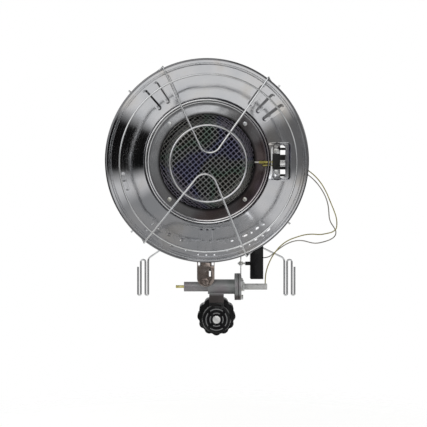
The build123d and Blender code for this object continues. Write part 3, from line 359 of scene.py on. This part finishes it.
MATERIALS = {
    "chromed_steel": chromed_steel(),
    "heat_tinted_steel": heat_tinted_steel(),
    "screen_wire": screen_wire("oxidised_wire_cloth", [
        "#b4b3ae", "#9bb0a3", "#b7b9b8", "#bababa", "#a2a4c4", "#b3aebd"], 0.3),
    # die-cast zinc, tumbled: mid grey with a soft pitted skin, and painted shade on the neck below
    # the valve tube
    "zinc_casting": surface(
        "die_cast_zinc", ["#777a79", "#838484", "#847f82"],
        patch_mm=30, rough=(0.42, 0.55), smudge_mm=9, grain_mm=1.1, grain_height=0.04,
        # painted shade: darker towards the neck, below 41 mm up, where it lies in shadow
        zone=("Z", 41.0, 35.0, "#474140"), Metallic=0.45),
    # free-cutting brass, turned and tarnished: yellow-green with dull patches
    "brass": surface(
        "turned_brass", ["#8b8346", "#aaa05e", "#c4bb84"],
        patch_mm=9, rough=(0.2, 0.42), smudge_mm=3, grain_mm=0.5, grain_height=0.02,
        zone=("X", 102.0, 105.0, "#e4e4e2"), Metallic=1.0),
    # glass-filled nylon, moulded black: fine grain and a low sheen
    "black_plastic": surface(
        "moulded_black_nylon", ["#050506", "#08080a", "#0c0c0d"],
        patch_mm=14, rough=(0.16, 0.28), smudge_mm=6, grain_mm=0.9, grain_height=0.012,
        Specular_IOR_Level=0.25),
    # the same nylon with its raised broken rings wiped pale grey
    "knob_plastic": surface(
        "ringed_black_nylon", ["#050506", "#08080a", "#0c0c0d"],
        patch_mm=14, rough=(0.16, 0.28), smudge_mm=6, grain_mm=0.9, grain_height=0.012,
        zone=("Y", KNOB_FACE + 0.5, KNOB_FACE + 0.3, "#6e6e6f"), Specular_IOR_Level=0.25),
    # bright aluminium disc
    "bright_cap": surface(
        "bright_aluminium", ["#dcdcda", "#ededec"],
        patch_mm=4, rough=(0.3, 0.45), smudge_mm=2, grain_mm=0.4, grain_height=0.03,
        Metallic=0.9),
    # zinc-plated steel: bright with faint straw and blue passivation
    "zinc_plated_steel": surface(
        "zinc_plated_steel", ["#bcbec2", "#c8c9c8", "#c7c5bb"],
        patch_mm=9, rough=(0.26, 0.36), smudge_mm=5, grain_mm=2.0, grain_height=0.008,
        Metallic=1.0),
    # die-cast regulator halves, powder painted satin black
    "black_paint": surface(
        "satin_black_paint", ["#0d0d0e", "#121212", "#171718"],
        patch_mm=30, rough=(0.24, 0.36), smudge_mm=12, grain_mm=1.4, grain_height=0.02,
        Specular_IOR_Level=0.4),
    # glass-fibre sleeve over the leads' joint: pale grey, matt
    "pale_sleeve": surface(
        "glass_fibre_sleeve", ["#a8a8a7", "#b4b4b3", "#bdbdbb"],
        patch_mm=6, rough=(0.6, 0.75), smudge_mm=3, grain_mm=0.8, grain_height=0.05),
    # nitrile rubber: matt black
    "rubber": surface(
        "nitrile_rubber", ["#131313", "#1d1d1d"],
        patch_mm=10, rough=(0.7, 0.85), smudge_mm=4, grain_mm=0.8, grain_height=0.03),
    # bright strip steel, heat stained brown
    "bracket_steel": surface(
        "stained_strip_steel", ["#968a84", "#857972", "#a29892"],
        patch_mm=16, rough=(0.12, 0.24), smudge_mm=7, grain_mm=6.0, grain_height=0.06,
        Metallic=1.0),
    # hot-dip aluminised steel: dull silver with spangle
    "aluminised_steel": surface(
        "aluminised_steel", ["#84868a", "#9a9b9c", "#8f8d8a"],
        patch_mm=8, rough=(0.36, 0.55), smudge_mm=3, grain_mm=0.9, grain_height=0.04,
        Metallic=1.0),
    # steel blackened by heat and phosphate: matt, nearly black
    "blackened_steel": surface(
        "blackened_steel", ["#101010", "#1c1b1a", "#262322"],
        patch_mm=7, rough=(0.45, 0.65), smudge_mm=3, grain_mm=0.8, grain_height=0.05,
        Metallic=0.4),
    # bright nickel-plated wire, a little straw where it gets hot
    "nickel_wire": surface(
        "bright_nickel_wire", ["#ccced0", "#dadbdc", "#d2d2d1"],
        patch_mm=40, rough=(0.1, 0.17), smudge_mm=18, grain_mm=4.0, grain_height=0.01,
        Metallic=1.0),
    # varnished copper-alloy lead: dull olive yellow
    "yellow_lead": surface(
        "varnished_lead", ["#7d7740", "#938a4e", "#a19a62"],
        patch_mm=12, rough=(0.35, 0.55), smudge_mm=5, grain_mm=0.7, grain_height=0.05,
        Metallic=0.35),
    # bare alloy lead: dull warm grey
    "grey_lead": surface(
        "bare_alloy_lead", ["#77736b", "#8c877d", "#9a968e"],
        patch_mm=12, rough=(0.35, 0.55), smudge_mm=5, grain_mm=0.7, grain_height=0.05,
        Metallic=0.6),
}

# painted shade: the inner cloth, deep in the burner behind the outer cloth, is near black; its
# faint green and violet tints are oxide
SHADED_INNER_CLOTH = screen_wire("inner_cloth_painted_shade", [
    "#2a2a24", "#1c3527", "#242625", "#242424", "#25244c", "#292438"], 0.55)

SLOT_OF = {part["node"]: part["material_slot"] for part in frame["record"]["subparts"]}


def wear(piece, slot_name):
    """Gives a piece the finish of a material slot."""
    piece.data.materials.clear()
    piece.data.materials.append(MATERIALS[slot_name])


for node, cad_object in frame["nodes"].items():
    cad_object.material_slots[0].material = MATERIALS[SLOT_OF[node]]
wear(yellow_wire, "yellow_lead")
wear(grey_wire, "grey_lead")


# ---------------------------------------------------------------- shape helpers
def finished(name, shape, node, body="heater"):
    """Makes the piece from a bmesh, in its place, and lets it stand for its CAD node.

    The body is None for a piece that is attached to no body.
    """
    mesh = bpy.data.meshes.new(name)
    shape.to_mesh(mesh)
    shape.free()
    piece = bpy.data.objects.new(name, mesh)
    bpy.context.scene.collection.objects.link(piece)
    wear(piece, SLOT_OF[node])
    if body:
        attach(piece, body)
    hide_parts(node)
    return piece


def shade(shape, sharp_degrees=35.0):
    """Smooth faces, with an edge kept crisp where it turns sharply."""
    for face in shape.faces:
        face.smooth = True
    for edge in shape.edges:
        if len(edge.link_faces) == 2:
            edge.smooth = edge.calc_face_angle(0.0) < math.radians(sharp_degrees)


def spin_profile(profile, steps):
    """Spins (radius, height) points about the local Z axis; the flattest face looks up."""
    shape = bmesh.new()
    points = [shape.verts.new((radius * MM, 0.0, height * MM)) for radius, height in profile]
    line = [shape.edges.new(pair) for pair in zip(points, points[1:])]
    bmesh.ops.spin(shape, geom=points + line, cent=(0, 0, 0), axis=(0, 0, 1),
                   angle=FULL_TURN, steps=steps, use_merge=True)
    bmesh.ops.remove_doubles(shape, verts=shape.verts, dist=0.001 * MM)
    shape.normal_update()
    flat = max(shape.faces, key=lambda face: abs(face.normal.z))
    if flat.normal.z <= 0:
        bmesh.ops.reverse_faces(shape, faces=shape.faces)
    return shape


def thicken(piece, wall, offset=-1.0):
    """Gives a sheet its wall behind its face."""
    solid = piece.modifiers.new("wall", "SOLIDIFY")
    solid.thickness = wall * MM
    solid.offset = offset
    solid.use_even_offset = True


def arc(centre, radius, first, last, count):
    """Points of an arc in a profile, by angles from the +radius direction."""
    turns = [math.radians(first + (last - first) * i / count) for i in range(count + 1)]
    return [(centre[0] + radius * math.cos(t), centre[1] + radius * math.sin(t)) for t in turns]


def clock_of(place):
    """Radius in mm and angle in degrees clockwise from the top, in the head's frame."""
    return place.xy.length / MM, math.degrees(math.atan2(place.x, place.y)) % 360


# ---------------------------------------------------------------- reflector dish
RIM_R = 165.0
BEAD_R = 2.2
STEP_TOP = (157.3, -3.5)
STEP_LOW_R = 154.6
STEP_LOW_Z = -6.4
RECESS_R = 105.0
RECESS_CORNER = 3.0
CONE_Z = -42.0
FLOOR_Z = -55.4
FLOOR_HOLE_R = 72.0
DISH_WALL = 0.8
BOWL_SAG = 1.0          # how far the bowl's wall is hollow between its edges
DISH_STEPS = 560
WALL_ROWS = 44

# Pressed ribs: clock angle, radius of the middle, half length, half width and height, and
# whether the rib runs along the radius
RIB_RAMP = 2.0          # width of a rib's slope
RIB_REACH = 6.0         # degrees beyond which a rib changes nothing
BROAD_RIBS = [(angle, 134.0, 15.0, 1.9, 1.3, True) for angle in (318, 326.5, 335, 37, 45.5, 54)]
LOWER_RIBS = [(angle, 134.0, 18.0, 1.0, 1.3, True) for angle in (175.0, 180, 185.0)]
SIDE_RIBS = [(angle, 139.0, 5.0, 0.9, 0.4, False) for angle in (253, 259)]
DIMPLE_FIRST = 13       # degrees from the bottom to the first dimple on a side
DIMPLE_STEP = 4.8
DIMPLE_COUNT = 7        # in each row of a side
DIMPLE_ROWS = (136, 149)


def dimple(side, n, radius):
    """A short mark at the bottom, whose length and direction change from one to the next.

    Side is 1 at the left, where the marks are higher, and -1 at the right.
    """
    half_length = 1.2 + 0.5 * (n * 5 % 4)
    height = 0.7 + 0.2 * side
    return (180 + side * (DIMPLE_FIRST + DIMPLE_STEP * n), radius, half_length, 0.5, height,
            (n + radius) % 2 == 0)


DIMPLES = [dimple(side, n, radius)
           for side in (1, -1) for n in range(DIMPLE_COUNT) for radius in DIMPLE_ROWS]
RIBS = BROAD_RIBS + LOWER_RIBS + SIDE_RIBS + DIMPLES

WINDOW_CENTRE_X = 118.25
WINDOW_WIDTH = 21.5
WINDOW_HEIGHT = 53.0
WINDOW_CORNER = 5.0
WINDOW_MARGIN = (9.0, 4.5)      # width of the pressed margin beside and above the window
WINDOW_DRAW = 1.7               # depth of that margin
WINDOW_SECTOR = 30              # degrees to each side of the right that the margin may reach
MARGIN_RISE = 1.5               # steepness of the margin's slope; above 1 it has a flat floor
MARGIN_FADE = 4.0               # distance over which the margin grows out of the recess's edge


def dish_profile():
    """The bright face from the rim's curl, over the step and the bowl, to the hole's edge."""
    curl = arc((RIM_R - BEAD_R, -BEAD_R), BEAD_R, -120, 122, 14)
    band = [(160.6, -1.1), (159.3, -2.0), (158.2, -2.8), STEP_TOP,
            (STEP_TOP[0] - 0.6, STEP_TOP[1] - 0.6), (STEP_LOW_R + 0.5, STEP_LOW_Z + 0.6),
            (STEP_LOW_R, STEP_LOW_Z)]
    wall = []
    for row in range(1, WALL_ROWS + 1):
        share = row / WALL_ROWS
        radius = STEP_LOW_R + (RECESS_R + 1.4 - STEP_LOW_R) * share
        height = STEP_LOW_Z + (CONE_Z + 0.8 - STEP_LOW_Z) * share
        wall.append((radius, height - BOWL_SAG * math.sin(math.pi * share)))
    corner = [(RECESS_R + 0.5, CONE_Z - 0.3), (RECESS_R, CONE_Z - 1.6)]
    floor = [(RECESS_R, FLOOR_Z + RECESS_CORNER), (RECESS_R - 0.9, FLOOR_Z + 0.9),
             (RECESS_R - RECESS_CORNER, FLOOR_Z), (FLOOR_HOLE_R, FLOOR_Z)]
    return curl + band + wall + corner + floor


def rib_lift(radius, angle):
    """Height of the pressed ribs at a place on the bowl."""
    lift = 0.0
    for turn, middle, half, width, height, radial in RIBS:
        away = (angle - turn + 180) % 360 - 180
        if abs(away) > RIB_REACH:
            continue
        across = math.radians(away) * radius
        along = radius - middle
        if not radial:
            across, along = along, across
        distance = math.hypot(max(abs(along) - half, 0.0), across)
        share = min(max((width + RIB_RAMP - distance) / RIB_RAMP, 0.0), 1.0)
        lift = max(lift, height * share * share * (3 - 2 * share))
    return lift


def margin_sink(place):
    """Depth of the pressed margin round the window at a place on the bowl."""
    x = (abs(place.x / MM - WINDOW_CENTRE_X) - WINDOW_WIDTH / 2) / WINDOW_MARGIN[0]
    y = (abs(place.y / MM) - WINDOW_HEIGHT / 2) / WINDOW_MARGIN[1]
    share = min(max(1.0 - math.hypot(max(x, 0.0), max(y, 0.0)), 0.0) * MARGIN_RISE, 1.0)
    return WINDOW_DRAW * share * share * (3 - 2 * share)


def window_outline():
    """The rounded window in the bowl, as points anticlockwise."""
    points = []
    wide, high = WINDOW_WIDTH / 2 - WINDOW_CORNER, WINDOW_HEIGHT / 2 - WINDOW_CORNER
    for x_side, y_side, first in ((1, 1, 0), (-1, 1, 90), (-1, -1, 180), (1, -1, 270)):
        centre = (WINDOW_CENTRE_X + x_side * wide, y_side * high)
        points += arc(centre, WINDOW_CORNER, first, first + 90, 5)
    return points


def cut_window(shape, outline):
    """Cuts the sheet along the outline and takes the inside away."""
    low_x, high_x = WINDOW_CENTRE_X - WINDOW_WIDTH, WINDOW_CENTRE_X + WINDOW_WIDTH
    sides = list(zip(outline, outline[1:] + outline[:1]))
    for start, end in sides:
        edge = Vector((end[0] - start[0], end[1] - start[1], 0.0))
        if edge.length < 0.01:
            continue
        near = [face for face in shape.faces
                if low_x * MM < face.calc_center_median().x < high_x * MM
                and abs(face.calc_center_median().y) < WINDOW_HEIGHT * MM]
        parts = set(near)
        for face in near:
            parts.update(face.verts)
            parts.update(face.edges)
        bmesh.ops.bisect_plane(shape, geom=list(parts), dist=0.0005 * MM,
                               plane_co=Vector((*start, 0.0)) * MM, plane_no=(edge.y, -edge.x, 0.0))
    inside = []
    for face in shape.faces:
        place = face.calc_center_median() / MM
        if not low_x < place.x < high_x or abs(place.y) > WINDOW_HEIGHT:
            continue
        left_of_all = all(
            (end[0] - start[0]) * (place.y - start[1])
            - (end[1] - start[1]) * (place.x - start[0]) > -1e-6
            for start, end in sides)
        if left_of_all:
            inside.append(face)
    bmesh.ops.delete(shape, geom=inside, context="FACES")


def reflector_dish():
    """The bowl with its pressed ribs, and the window with its pressed margin."""
    shape = spin_profile(dish_profile(), DISH_STEPS)
    shape.normal_update()
    moves = []
    for vert in shape.verts:
        radius, angle = clock_of(vert.co)
        if RECESS_R + 0.1 < radius < STEP_LOW_R:
            rise = rib_lift(radius, angle)
            if abs(angle - 90) < WINDOW_SECTOR:
                rise -= margin_sink(vert.co) * min((radius - RECESS_R) / MARGIN_FADE, 1.0)
            moves.append((vert, vert.normal * rise * MM))
    for vert, move in moves:
        vert.co += move
    cut_window(shape, window_outline())
    shade(shape, 50.0)
    shape.transform(HEAD)
    dish = finished("chromed_reflector", shape, "reflector_dish")
    thicken(dish, DISH_WALL)


reflector_dish()


TAB_LEFT = 109.0
TAB_WIDTH = 13.0
TAB_FOOT_Z = -42.6
TAB_FOOT_END = 13.0
TAB_ROOT_Z = -31.6
TAB_BEND = 2.4          # radius of the bend


def window_tabs():
    """The two tabs bent back from the window's upper and lower edges, with a rounded bend."""
    shape = bmesh.new()
    edge = WINDOW_HEIGHT / 2
    for side in (1, -1):
        line = [(edge + 1.4, TAB_ROOT_Z + 0.9), (edge + 0.4, TAB_ROOT_Z + 0.6),
                (edge, TAB_ROOT_Z - 0.2)]
        line += arc((edge - TAB_BEND, TAB_FOOT_Z + TAB_BEND), TAB_BEND, 0, -90, 5)
        line += [(TAB_FOOT_END, TAB_FOOT_Z)]
        rows = [[shape.verts.new((x * MM, side * y * MM, z * MM)) for y, z in line]
                for x in (TAB_LEFT, TAB_LEFT + TAB_WIDTH)]
        for n in range(len(line) - 1):
            shape.faces.new((rows[0][n], rows[1][n], rows[1][n + 1], rows[0][n + 1]))
    bmesh.ops.recalc_face_normals(shape, faces=shape.faces)
    for face in shape.faces:
        if face.normal.z < 0:
            face.normal_flip()
    shade(shape, 50.0)
    shape.transform(HEAD)
    tabs = finished("bent_window_tabs", shape, "reflector_dish")
    thicken(tabs, DISH_WALL, 1.0)


window_tabs()


# ---------------------------------------------------------------- burner pan
PAN_WALL_R = 103.8
PAN_FLOOR_Z = -54.6
PAN_HOLE_R = 76.0
PAN_CORNER = 4.0
PAN_BEAD_R = 1.8
PAN_BEAD_OUT = 0.8      # how far the curl stands out over the wall
PAN_SHEET = 0.6
PAN_STEPS = 256


def burner_pan():
    """The drawn ring round the screen, with a curled upper edge."""
    bead_r = PAN_WALL_R - PAN_BEAD_R + PAN_BEAD_OUT
    profile = arc((bead_r, CONE_Z), PAN_BEAD_R, 60, 250, 8)
    profile += [(bead_r - 0.6, CONE_Z - 2.4)]
    corner = (bead_r - 0.4 - PAN_CORNER, PAN_FLOOR_Z + PAN_CORNER)
    profile += arc(corner, PAN_CORNER, 0, -90, 7)
    profile += [(radius, PAN_FLOOR_Z) for radius in (94.0, 88.0, 82.0, PAN_HOLE_R)]
    shape = spin_profile(profile, PAN_STEPS)
    shade(shape, 60.0)
    shape.transform(HEAD)
    pan = finished("drawn_burner_pan", shape, "burner_pan")
    thicken(pan, PAN_SHEET)


burner_pan()


# ---------------------------------------------------------------- wire cloth screens
SCREEN_SHIFT = (5.0, -3.0)      # how far the crown lies off the foot's centre
CLOTH_TURN = math.radians(41.0)
CLOTH_START = 0.5               # first wire from the cloth's centre, in pitches


def screen_levels(base_r, base_z, height, crown_r):
    """(length along the sheet from the crown's centre, radius, height, lean) down the screen.

    Lean is the share of the crown's shift that a level has.
    """
    crown_z = base_z + height
    path = [(0.0, crown_z, 1.0), (crown_r * 0.6, crown_z - 0.3, 1.0),
            (crown_r * 0.95, crown_z - 0.9, 1.0), (crown_r + 4.0, crown_z - 2.8, 0.97),
            (crown_r + 6.8, crown_z - 5.6, 0.88), (base_r - 2.0, base_z + 6.0, -0.2),
            (base_r, base_z + 0.6, 0.0)]
    levels, length = [(0.0, *path[0])], 0.0
    for (r0, z0, _), (r1, z1, lean) in zip(path, path[1:]):
        length += math.hypot(r1 - r0, z1 - z0)
        levels.append((length, r1, z1, lean))
    return levels


def on_screen(levels, x, y, lift):
    """Lays a point of the flat cloth on the drawn cup."""
    length = math.hypot(x, y)
    for (l0, r0, z0, n0), (l1, r1, z1, n1) in zip(levels, levels[1:]):
        if length <= l1 or l1 == levels[-1][0]:
            share = (length - l0) / (l1 - l0)
            slope = math.hypot(r1 - r0, z1 - z0)
            outward, up = (z0 - z1) / slope, (r1 - r0) / slope
            radius = r0 + (r1 - r0) * share + lift * outward
            height = z0 + (z1 - z0) * share + lift * up
            lean = n0 + (n1 - n0) * share
            break
    turn = radius / length if length > 1e-6 else 1.0
    shift_x, shift_y = SCREEN_SHIFT
    return Vector((x * turn + shift_x * lean, y * turn + shift_y * lean, height)) * MM


def wire_line(levels, direction, n, pitch, wire_d):
    """Points of one wire, which passes over and under the wires that cross it."""
    reach = levels[-1][0]
    offset = (n + CLOTH_START) * pitch
    if abs(offset) >= reach - pitch / 2:
        return []
    length = math.sqrt(reach ** 2 - offset ** 2)
    steps = int(2 * length / (pitch / 2))
    first = -math.floor(length / (pitch / 2))
    cos, sin = math.cos(CLOTH_TURN), math.sin(CLOTH_TURN)
    points = []
    for i in range(steps + 1):
        run = (first + i) * pitch / 2
        if abs(run) > length:
            continue
        crossing = (run / pitch - CLOTH_START + n) * math.pi
        lift = direction * wire_d * 0.5 * math.cos(crossing)
        x, y = (run, offset) if direction > 0 else (offset, run)
        points.append(on_screen(levels, cos * x - sin * y, sin * x + cos * y, lift))
    return points


def woven_screen(name, node, cup, pitch, wire_d, sides, cloth):
    """Plain-woven wire cloth drawn to a cup, its wires near 45 degrees.

    The cup is its base radius, base height, depth and crown radius.
    """
    levels = screen_levels(*cup)
    curve = bpy.data.curves.new(name, "CURVE")
    curve.dimensions = "3D"
    curve.bevel_depth = wire_d / 2 * MM
    curve.bevel_resolution = sides
    count = int(levels[-1][0] / pitch)
    for direction in (1, -1):
        for n in range(-count, count + 1):
            points = wire_line(levels, direction, n, pitch, wire_d)
            if len(points) < 3:
                continue
            spline = curve.splines.new("POLY")
            spline.points.add(len(points) - 1)
            for point, place in zip(spline.points, points):
                point.co = (*place, 1.0)
    holder = bpy.data.objects.new(name + "_curve", curve)
    bpy.context.scene.collection.objects.link(holder)
    bpy.context.view_layer.update()
    mesh = bpy.data.meshes.new_from_object(holder)
    bpy.data.objects.remove(holder)
    shape = bmesh.new()
    shape.from_mesh(mesh)
    for face in shape.faces:
        face.smooth = True
    shape.transform(HEAD)
    screen = finished(name, shape, node)
    screen.data.materials[0] = cloth


woven_screen("woven_outer_screen", "outer_screen", cup=(79.5, PAN_FLOOR_Z, 29.0, 59.0),
             pitch=6.6, wire_d=0.88, sides=2, cloth=MATERIALS["screen_wire"])
woven_screen("woven_inner_screen", "inner_screen", cup=(70.0, FLOOR_Z, 23.0, 51.5),
             pitch=3.3, wire_d=0.6, sides=0, cloth=SHADED_INNER_CLOTH)


# ---------------------------------------------------------------- edge-rounded fittings
SHARP_EDGE = 30.0       # degrees from which an edge is rounded


def rounded(name, node, width, body="heater", segments=2):
    """The node's own shape with its hard edges rounded, as cast, moulded or pressed."""
    shape = bmesh.new()
    shape.from_mesh(frame["nodes"][node].data)
    bmesh.ops.remove_doubles(shape, verts=shape.verts, dist=0.002 * MM)
    bmesh.ops.dissolve_limit(
        shape, angle_limit=math.radians(0.5), verts=shape.verts, edges=shape.edges)
    for face in shape.faces:
        face.smooth = True
    piece = finished(name, shape, node, body=body)
    bevel = piece.modifiers.new("edges", "BEVEL")
    bevel.width = width * MM
    bevel.segments = segments
    bevel.limit_method = "ANGLE"
    bevel.angle_limit = math.radians(SHARP_EDGE)
    bevel.harden_normals = True
    return piece


# Piece, the node that it stands for, and the width of its rounded edges
ROUNDED_FITTINGS = (
    ("cast_valve_body", "valve_body", 0.7),
    ("cast_flange_cover", "flange_cover", 0.4),
    ("cast_regulator", "regulator_body", 0.8),
    ("cast_regulator_cover", "regulator_cover", 0.5),
    ("pressed_burner_bracket", "burner_bracket", 0.25),
    ("slotted_bracket_bolt", "bracket_bolt", 0.4),
    ("magnet_unit_nut", "magnet_nut", 0.4),
    ("turned_sleeve", "interrupter_sleeve", 0.5),
    ("flange_hex_screws", "flange_screws", 0.3),
    ("moulded_switch_case", "tip_switch_case", 0.8),
    ("moulded_switch_cover", "tip_switch_cover", 0.5),
    ("switch_bracket_plate", "tip_switch_bracket", 0.2),
    ("stamped_holder", "thermocouple_holder", 0.4),
    ("holder_pan_screws", "holder_screws", 0.4),
    ("domed_pan_rivets", "burner_rivets", 0.9),
)
for piece_name, node, width in ROUNDED_FITTINGS:
    fitting = rounded(piece_name, node, width)
    if node == "bracket_bolt":      # stained by the same heat as its bracket
        fitting.data.materials[0] = MATERIALS["bracket_steel"]
rounded("moulded_hand_nut", "coupling_nut", 1.2, "coupling", 3)
knob = rounded("moulded_control_knob", "control_knob", 0.25, "knob", 2)
knob.data.materials[0] = MATERIALS["knob_plastic"]
rounded("bright_knob_disc", "knob_cap", 0.4, "knob", 2)
rounded("turned_push_rod", "push_rod", 0.4, "push_button", 2)


def rod_return_spring():
    """The push rod's coil spring between the rod and its seat, attached to no body, with its place
    baked into its mesh.
    """
    shape = bmesh.new()
    shape.from_mesh(frame["nodes"]["rod_spring"].data)
    coil = finished("rod_return_coil", shape, "rod_spring", body=None)
    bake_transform(coil)


rod_return_spring()


# ---------------------------------------------------------------- stage, light
FLOOR_HEIGHT = -400.0
FLOOR_RADIUS = 1300.0
FLOOR_FADE = (0.75, 0.98)       # shares of the radius between which the floor fades out
FLOOR_GLOW_SEEN = 0.4           # lifts the floor to white for the camera
FLOOR_GLOW_MIRRORED = 0.19      # and a little in what metal mirrors


def studio_floor():
    """A plain pale floor that fades out at its edge."""
    shape = bmesh.new()
    bmesh.ops.create_circle(shape, cap_ends=True, segments=96, radius=FLOOR_RADIUS * MM)
    bmesh.ops.translate(shape, verts=shape.verts, vec=(0, 0, FLOOR_HEIGHT * MM))
    mesh = bpy.data.meshes.new("floor")
    shape.to_mesh(mesh)
    shape.free()
    floor = bpy.data.objects.new("floor", mesh)
    bpy.context.scene.collection.objects.link(floor)
    material, tree, shader, spot = start_material("pale_floor", Roughness=0.9)
    shader.inputs["Base Color"].default_value = srgb("#f4f4f3")
    shader.inputs["Emission Color"].default_value = srgb("#ffffff")
    rays = add(tree, "ShaderNodeLightPath")
    shine = add(tree, "ShaderNodeMath", {0: rays.outputs["Is Glossy Ray"], 1: FLOOR_GLOW_MIRRORED},
                operation="MULTIPLY")
    glow = add(tree, "ShaderNodeMath", {
        0: rays.outputs["Is Camera Ray"], 1: FLOOR_GLOW_SEEN, 2: shine.outputs["Value"]},
        operation="MULTIPLY_ADD")
    tree.links.new(glow.outputs["Value"], shader.inputs["Emission Strength"])
    away = add(tree, "ShaderNodeVectorMath", {0: spot}, operation="LENGTH")
    fade = add(tree, "ShaderNodeMapRange", {
        "Value": away.outputs["Value"], "From Min": FLOOR_FADE[0] * FLOOR_RADIUS * MM,
        "From Max": FLOOR_FADE[1] * FLOOR_RADIUS * MM, "To Min": 1.0, "To Max": 0.0},
        interpolation_type="SMOOTHSTEP")
    tree.links.new(fade.outputs["Result"], shader.inputs["Alpha"])
    mesh.materials.append(material)


# What polished metal mirrors: a pale wall all round, with three plain cards in front of it.
# A card is given by the first and last clock angle of the bowl at which it is seen.
WALL_TONE = "#e0e0e0"
CARDS = ((65, 95, "#707070"), (140, 240, "#a0a0a0"), (265, 295, "#101010"))
CARD_EDGE = 10          # degrees over which a card fades into the wall
FRONT_LEFT = "#909090"  # the room before the object, left and right of its middle
FRONT_RIGHT = "#505050"
FRONT_EDGE = 0.1        # half width of the soft border between them, as X of a unit direction
FRONT_REACH = (-0.93, -0.56)    # Y of a unit direction, where the front passes into the walls
MATT_LIGHT = 0.6        # how strongly the world lights what isn't a mirror


def room_stops():
    """The wall and its cards as colour stops over one turn."""
    stops = [(0, WALL_TONE)]
    for first, last, tone in CARDS:
        stops += [(first - CARD_EDGE, WALL_TONE), (first, tone),
                  (last, tone), (last + CARD_EDGE, WALL_TONE)]
    return [(angle / 360, tone) for angle, tone in stops]


def studio_world():
    """White behind the object; a pale wall and plain cards round it, which polished metal shows."""
    world = bpy.data.worlds.new("studio")
    world.use_nodes = True
    bpy.context.scene.world = world
    tree = world.node_tree
    tree.nodes.clear()
    direction = add(tree, "ShaderNodeTexCoord").outputs["Generated"]
    parts = add(tree, "ShaderNodeSeparateXYZ", {"Vector": direction})
    clock = add(tree, "ShaderNodeMath", {0: parts.outputs["X"], 1: parts.outputs["Z"]},
                operation="ARCTAN2")
    share = add(tree, "ShaderNodeMapRange", {
        "Value": clock.outputs["Value"], "From Min": -math.pi, "From Max": math.pi})
    room = add(tree, "ShaderNodeValToRGB", {"Fac": share.outputs["Result"]}, ramp=room_stops())
    across = add(tree, "ShaderNodeMapRange", {
        "Value": parts.outputs["X"], "From Min": -FRONT_EDGE, "From Max": FRONT_EDGE},
        interpolation_type="SMOOTHSTEP")
    front = add(tree, "ShaderNodeMix", {
        MIX_SHARE: across.outputs["Result"], MIX_LOW: srgb(FRONT_LEFT),
        MIX_HIGH: srgb(FRONT_RIGHT)}, data_type="RGBA")
    facing = add(tree, "ShaderNodeMapRange", {
        "Value": parts.outputs["Y"], "From Min": FRONT_REACH[0], "From Max": FRONT_REACH[1]},
        interpolation_type="SMOOTHSTEP")
    mirrored = add(tree, "ShaderNodeMix", {
        MIX_SHARE: facing.outputs["Result"], MIX_LOW: front.outputs[MIX_RESULT],
        MIX_HIGH: room.outputs["Color"]}, data_type="RGBA")
    rays = add(tree, "ShaderNodeLightPath")
    fields = add(tree, "ShaderNodeBackground", {
        "Color": mirrored.outputs[MIX_RESULT], "Strength": 1.0})
    plain = add(tree, "ShaderNodeBackground", {"Color": srgb("#ffffff"), "Strength": MATT_LIGHT})
    white = add(tree, "ShaderNodeBackground", {"Color": srgb("#ffffff"), "Strength": 1.0})
    lit = add(tree, "ShaderNodeMixShader", {0: rays.outputs["Is Glossy Ray"], 1: plain.outputs[0],
                                            2: fields.outputs[0]})
    seen = add(tree, "ShaderNodeMixShader", {0: rays.outputs["Is Camera Ray"], 1: lit.outputs[0],
                                             2: white.outputs[0]})
    add(tree, "ShaderNodeOutputWorld", {"Surface": seen.outputs[0]})


# Soft boxes: name, place, side length and power in watts
LAMPS = (
    ("key", (-900, -2600, 1500), 2400, 24.0),
    ("fill", (1300, -2600, 400), 2200, 10.0),
)
LAMP_TARGET = Vector((0, -50, 170)) * MM


def soft_lamp(name, place, size, power):
    """A square soft box that looks at the object."""
    lamp = bpy.data.lights.new(name, "AREA")
    lamp.shape = "SQUARE"
    lamp.size = size * MM
    lamp.energy = power
    box = bpy.data.objects.new(name, lamp)
    box.location = Vector(place) * MM
    box.rotation_euler = (LAMP_TARGET - box.location).to_track_quat("-Z", "Y").to_euler()
    bpy.context.scene.collection.objects.link(box)


studio_floor()
studio_world()
for lamp_settings in LAMPS:
    soft_lamp(*lamp_settings)
bpy.context.scene.view_settings.view_transform = "Standard"
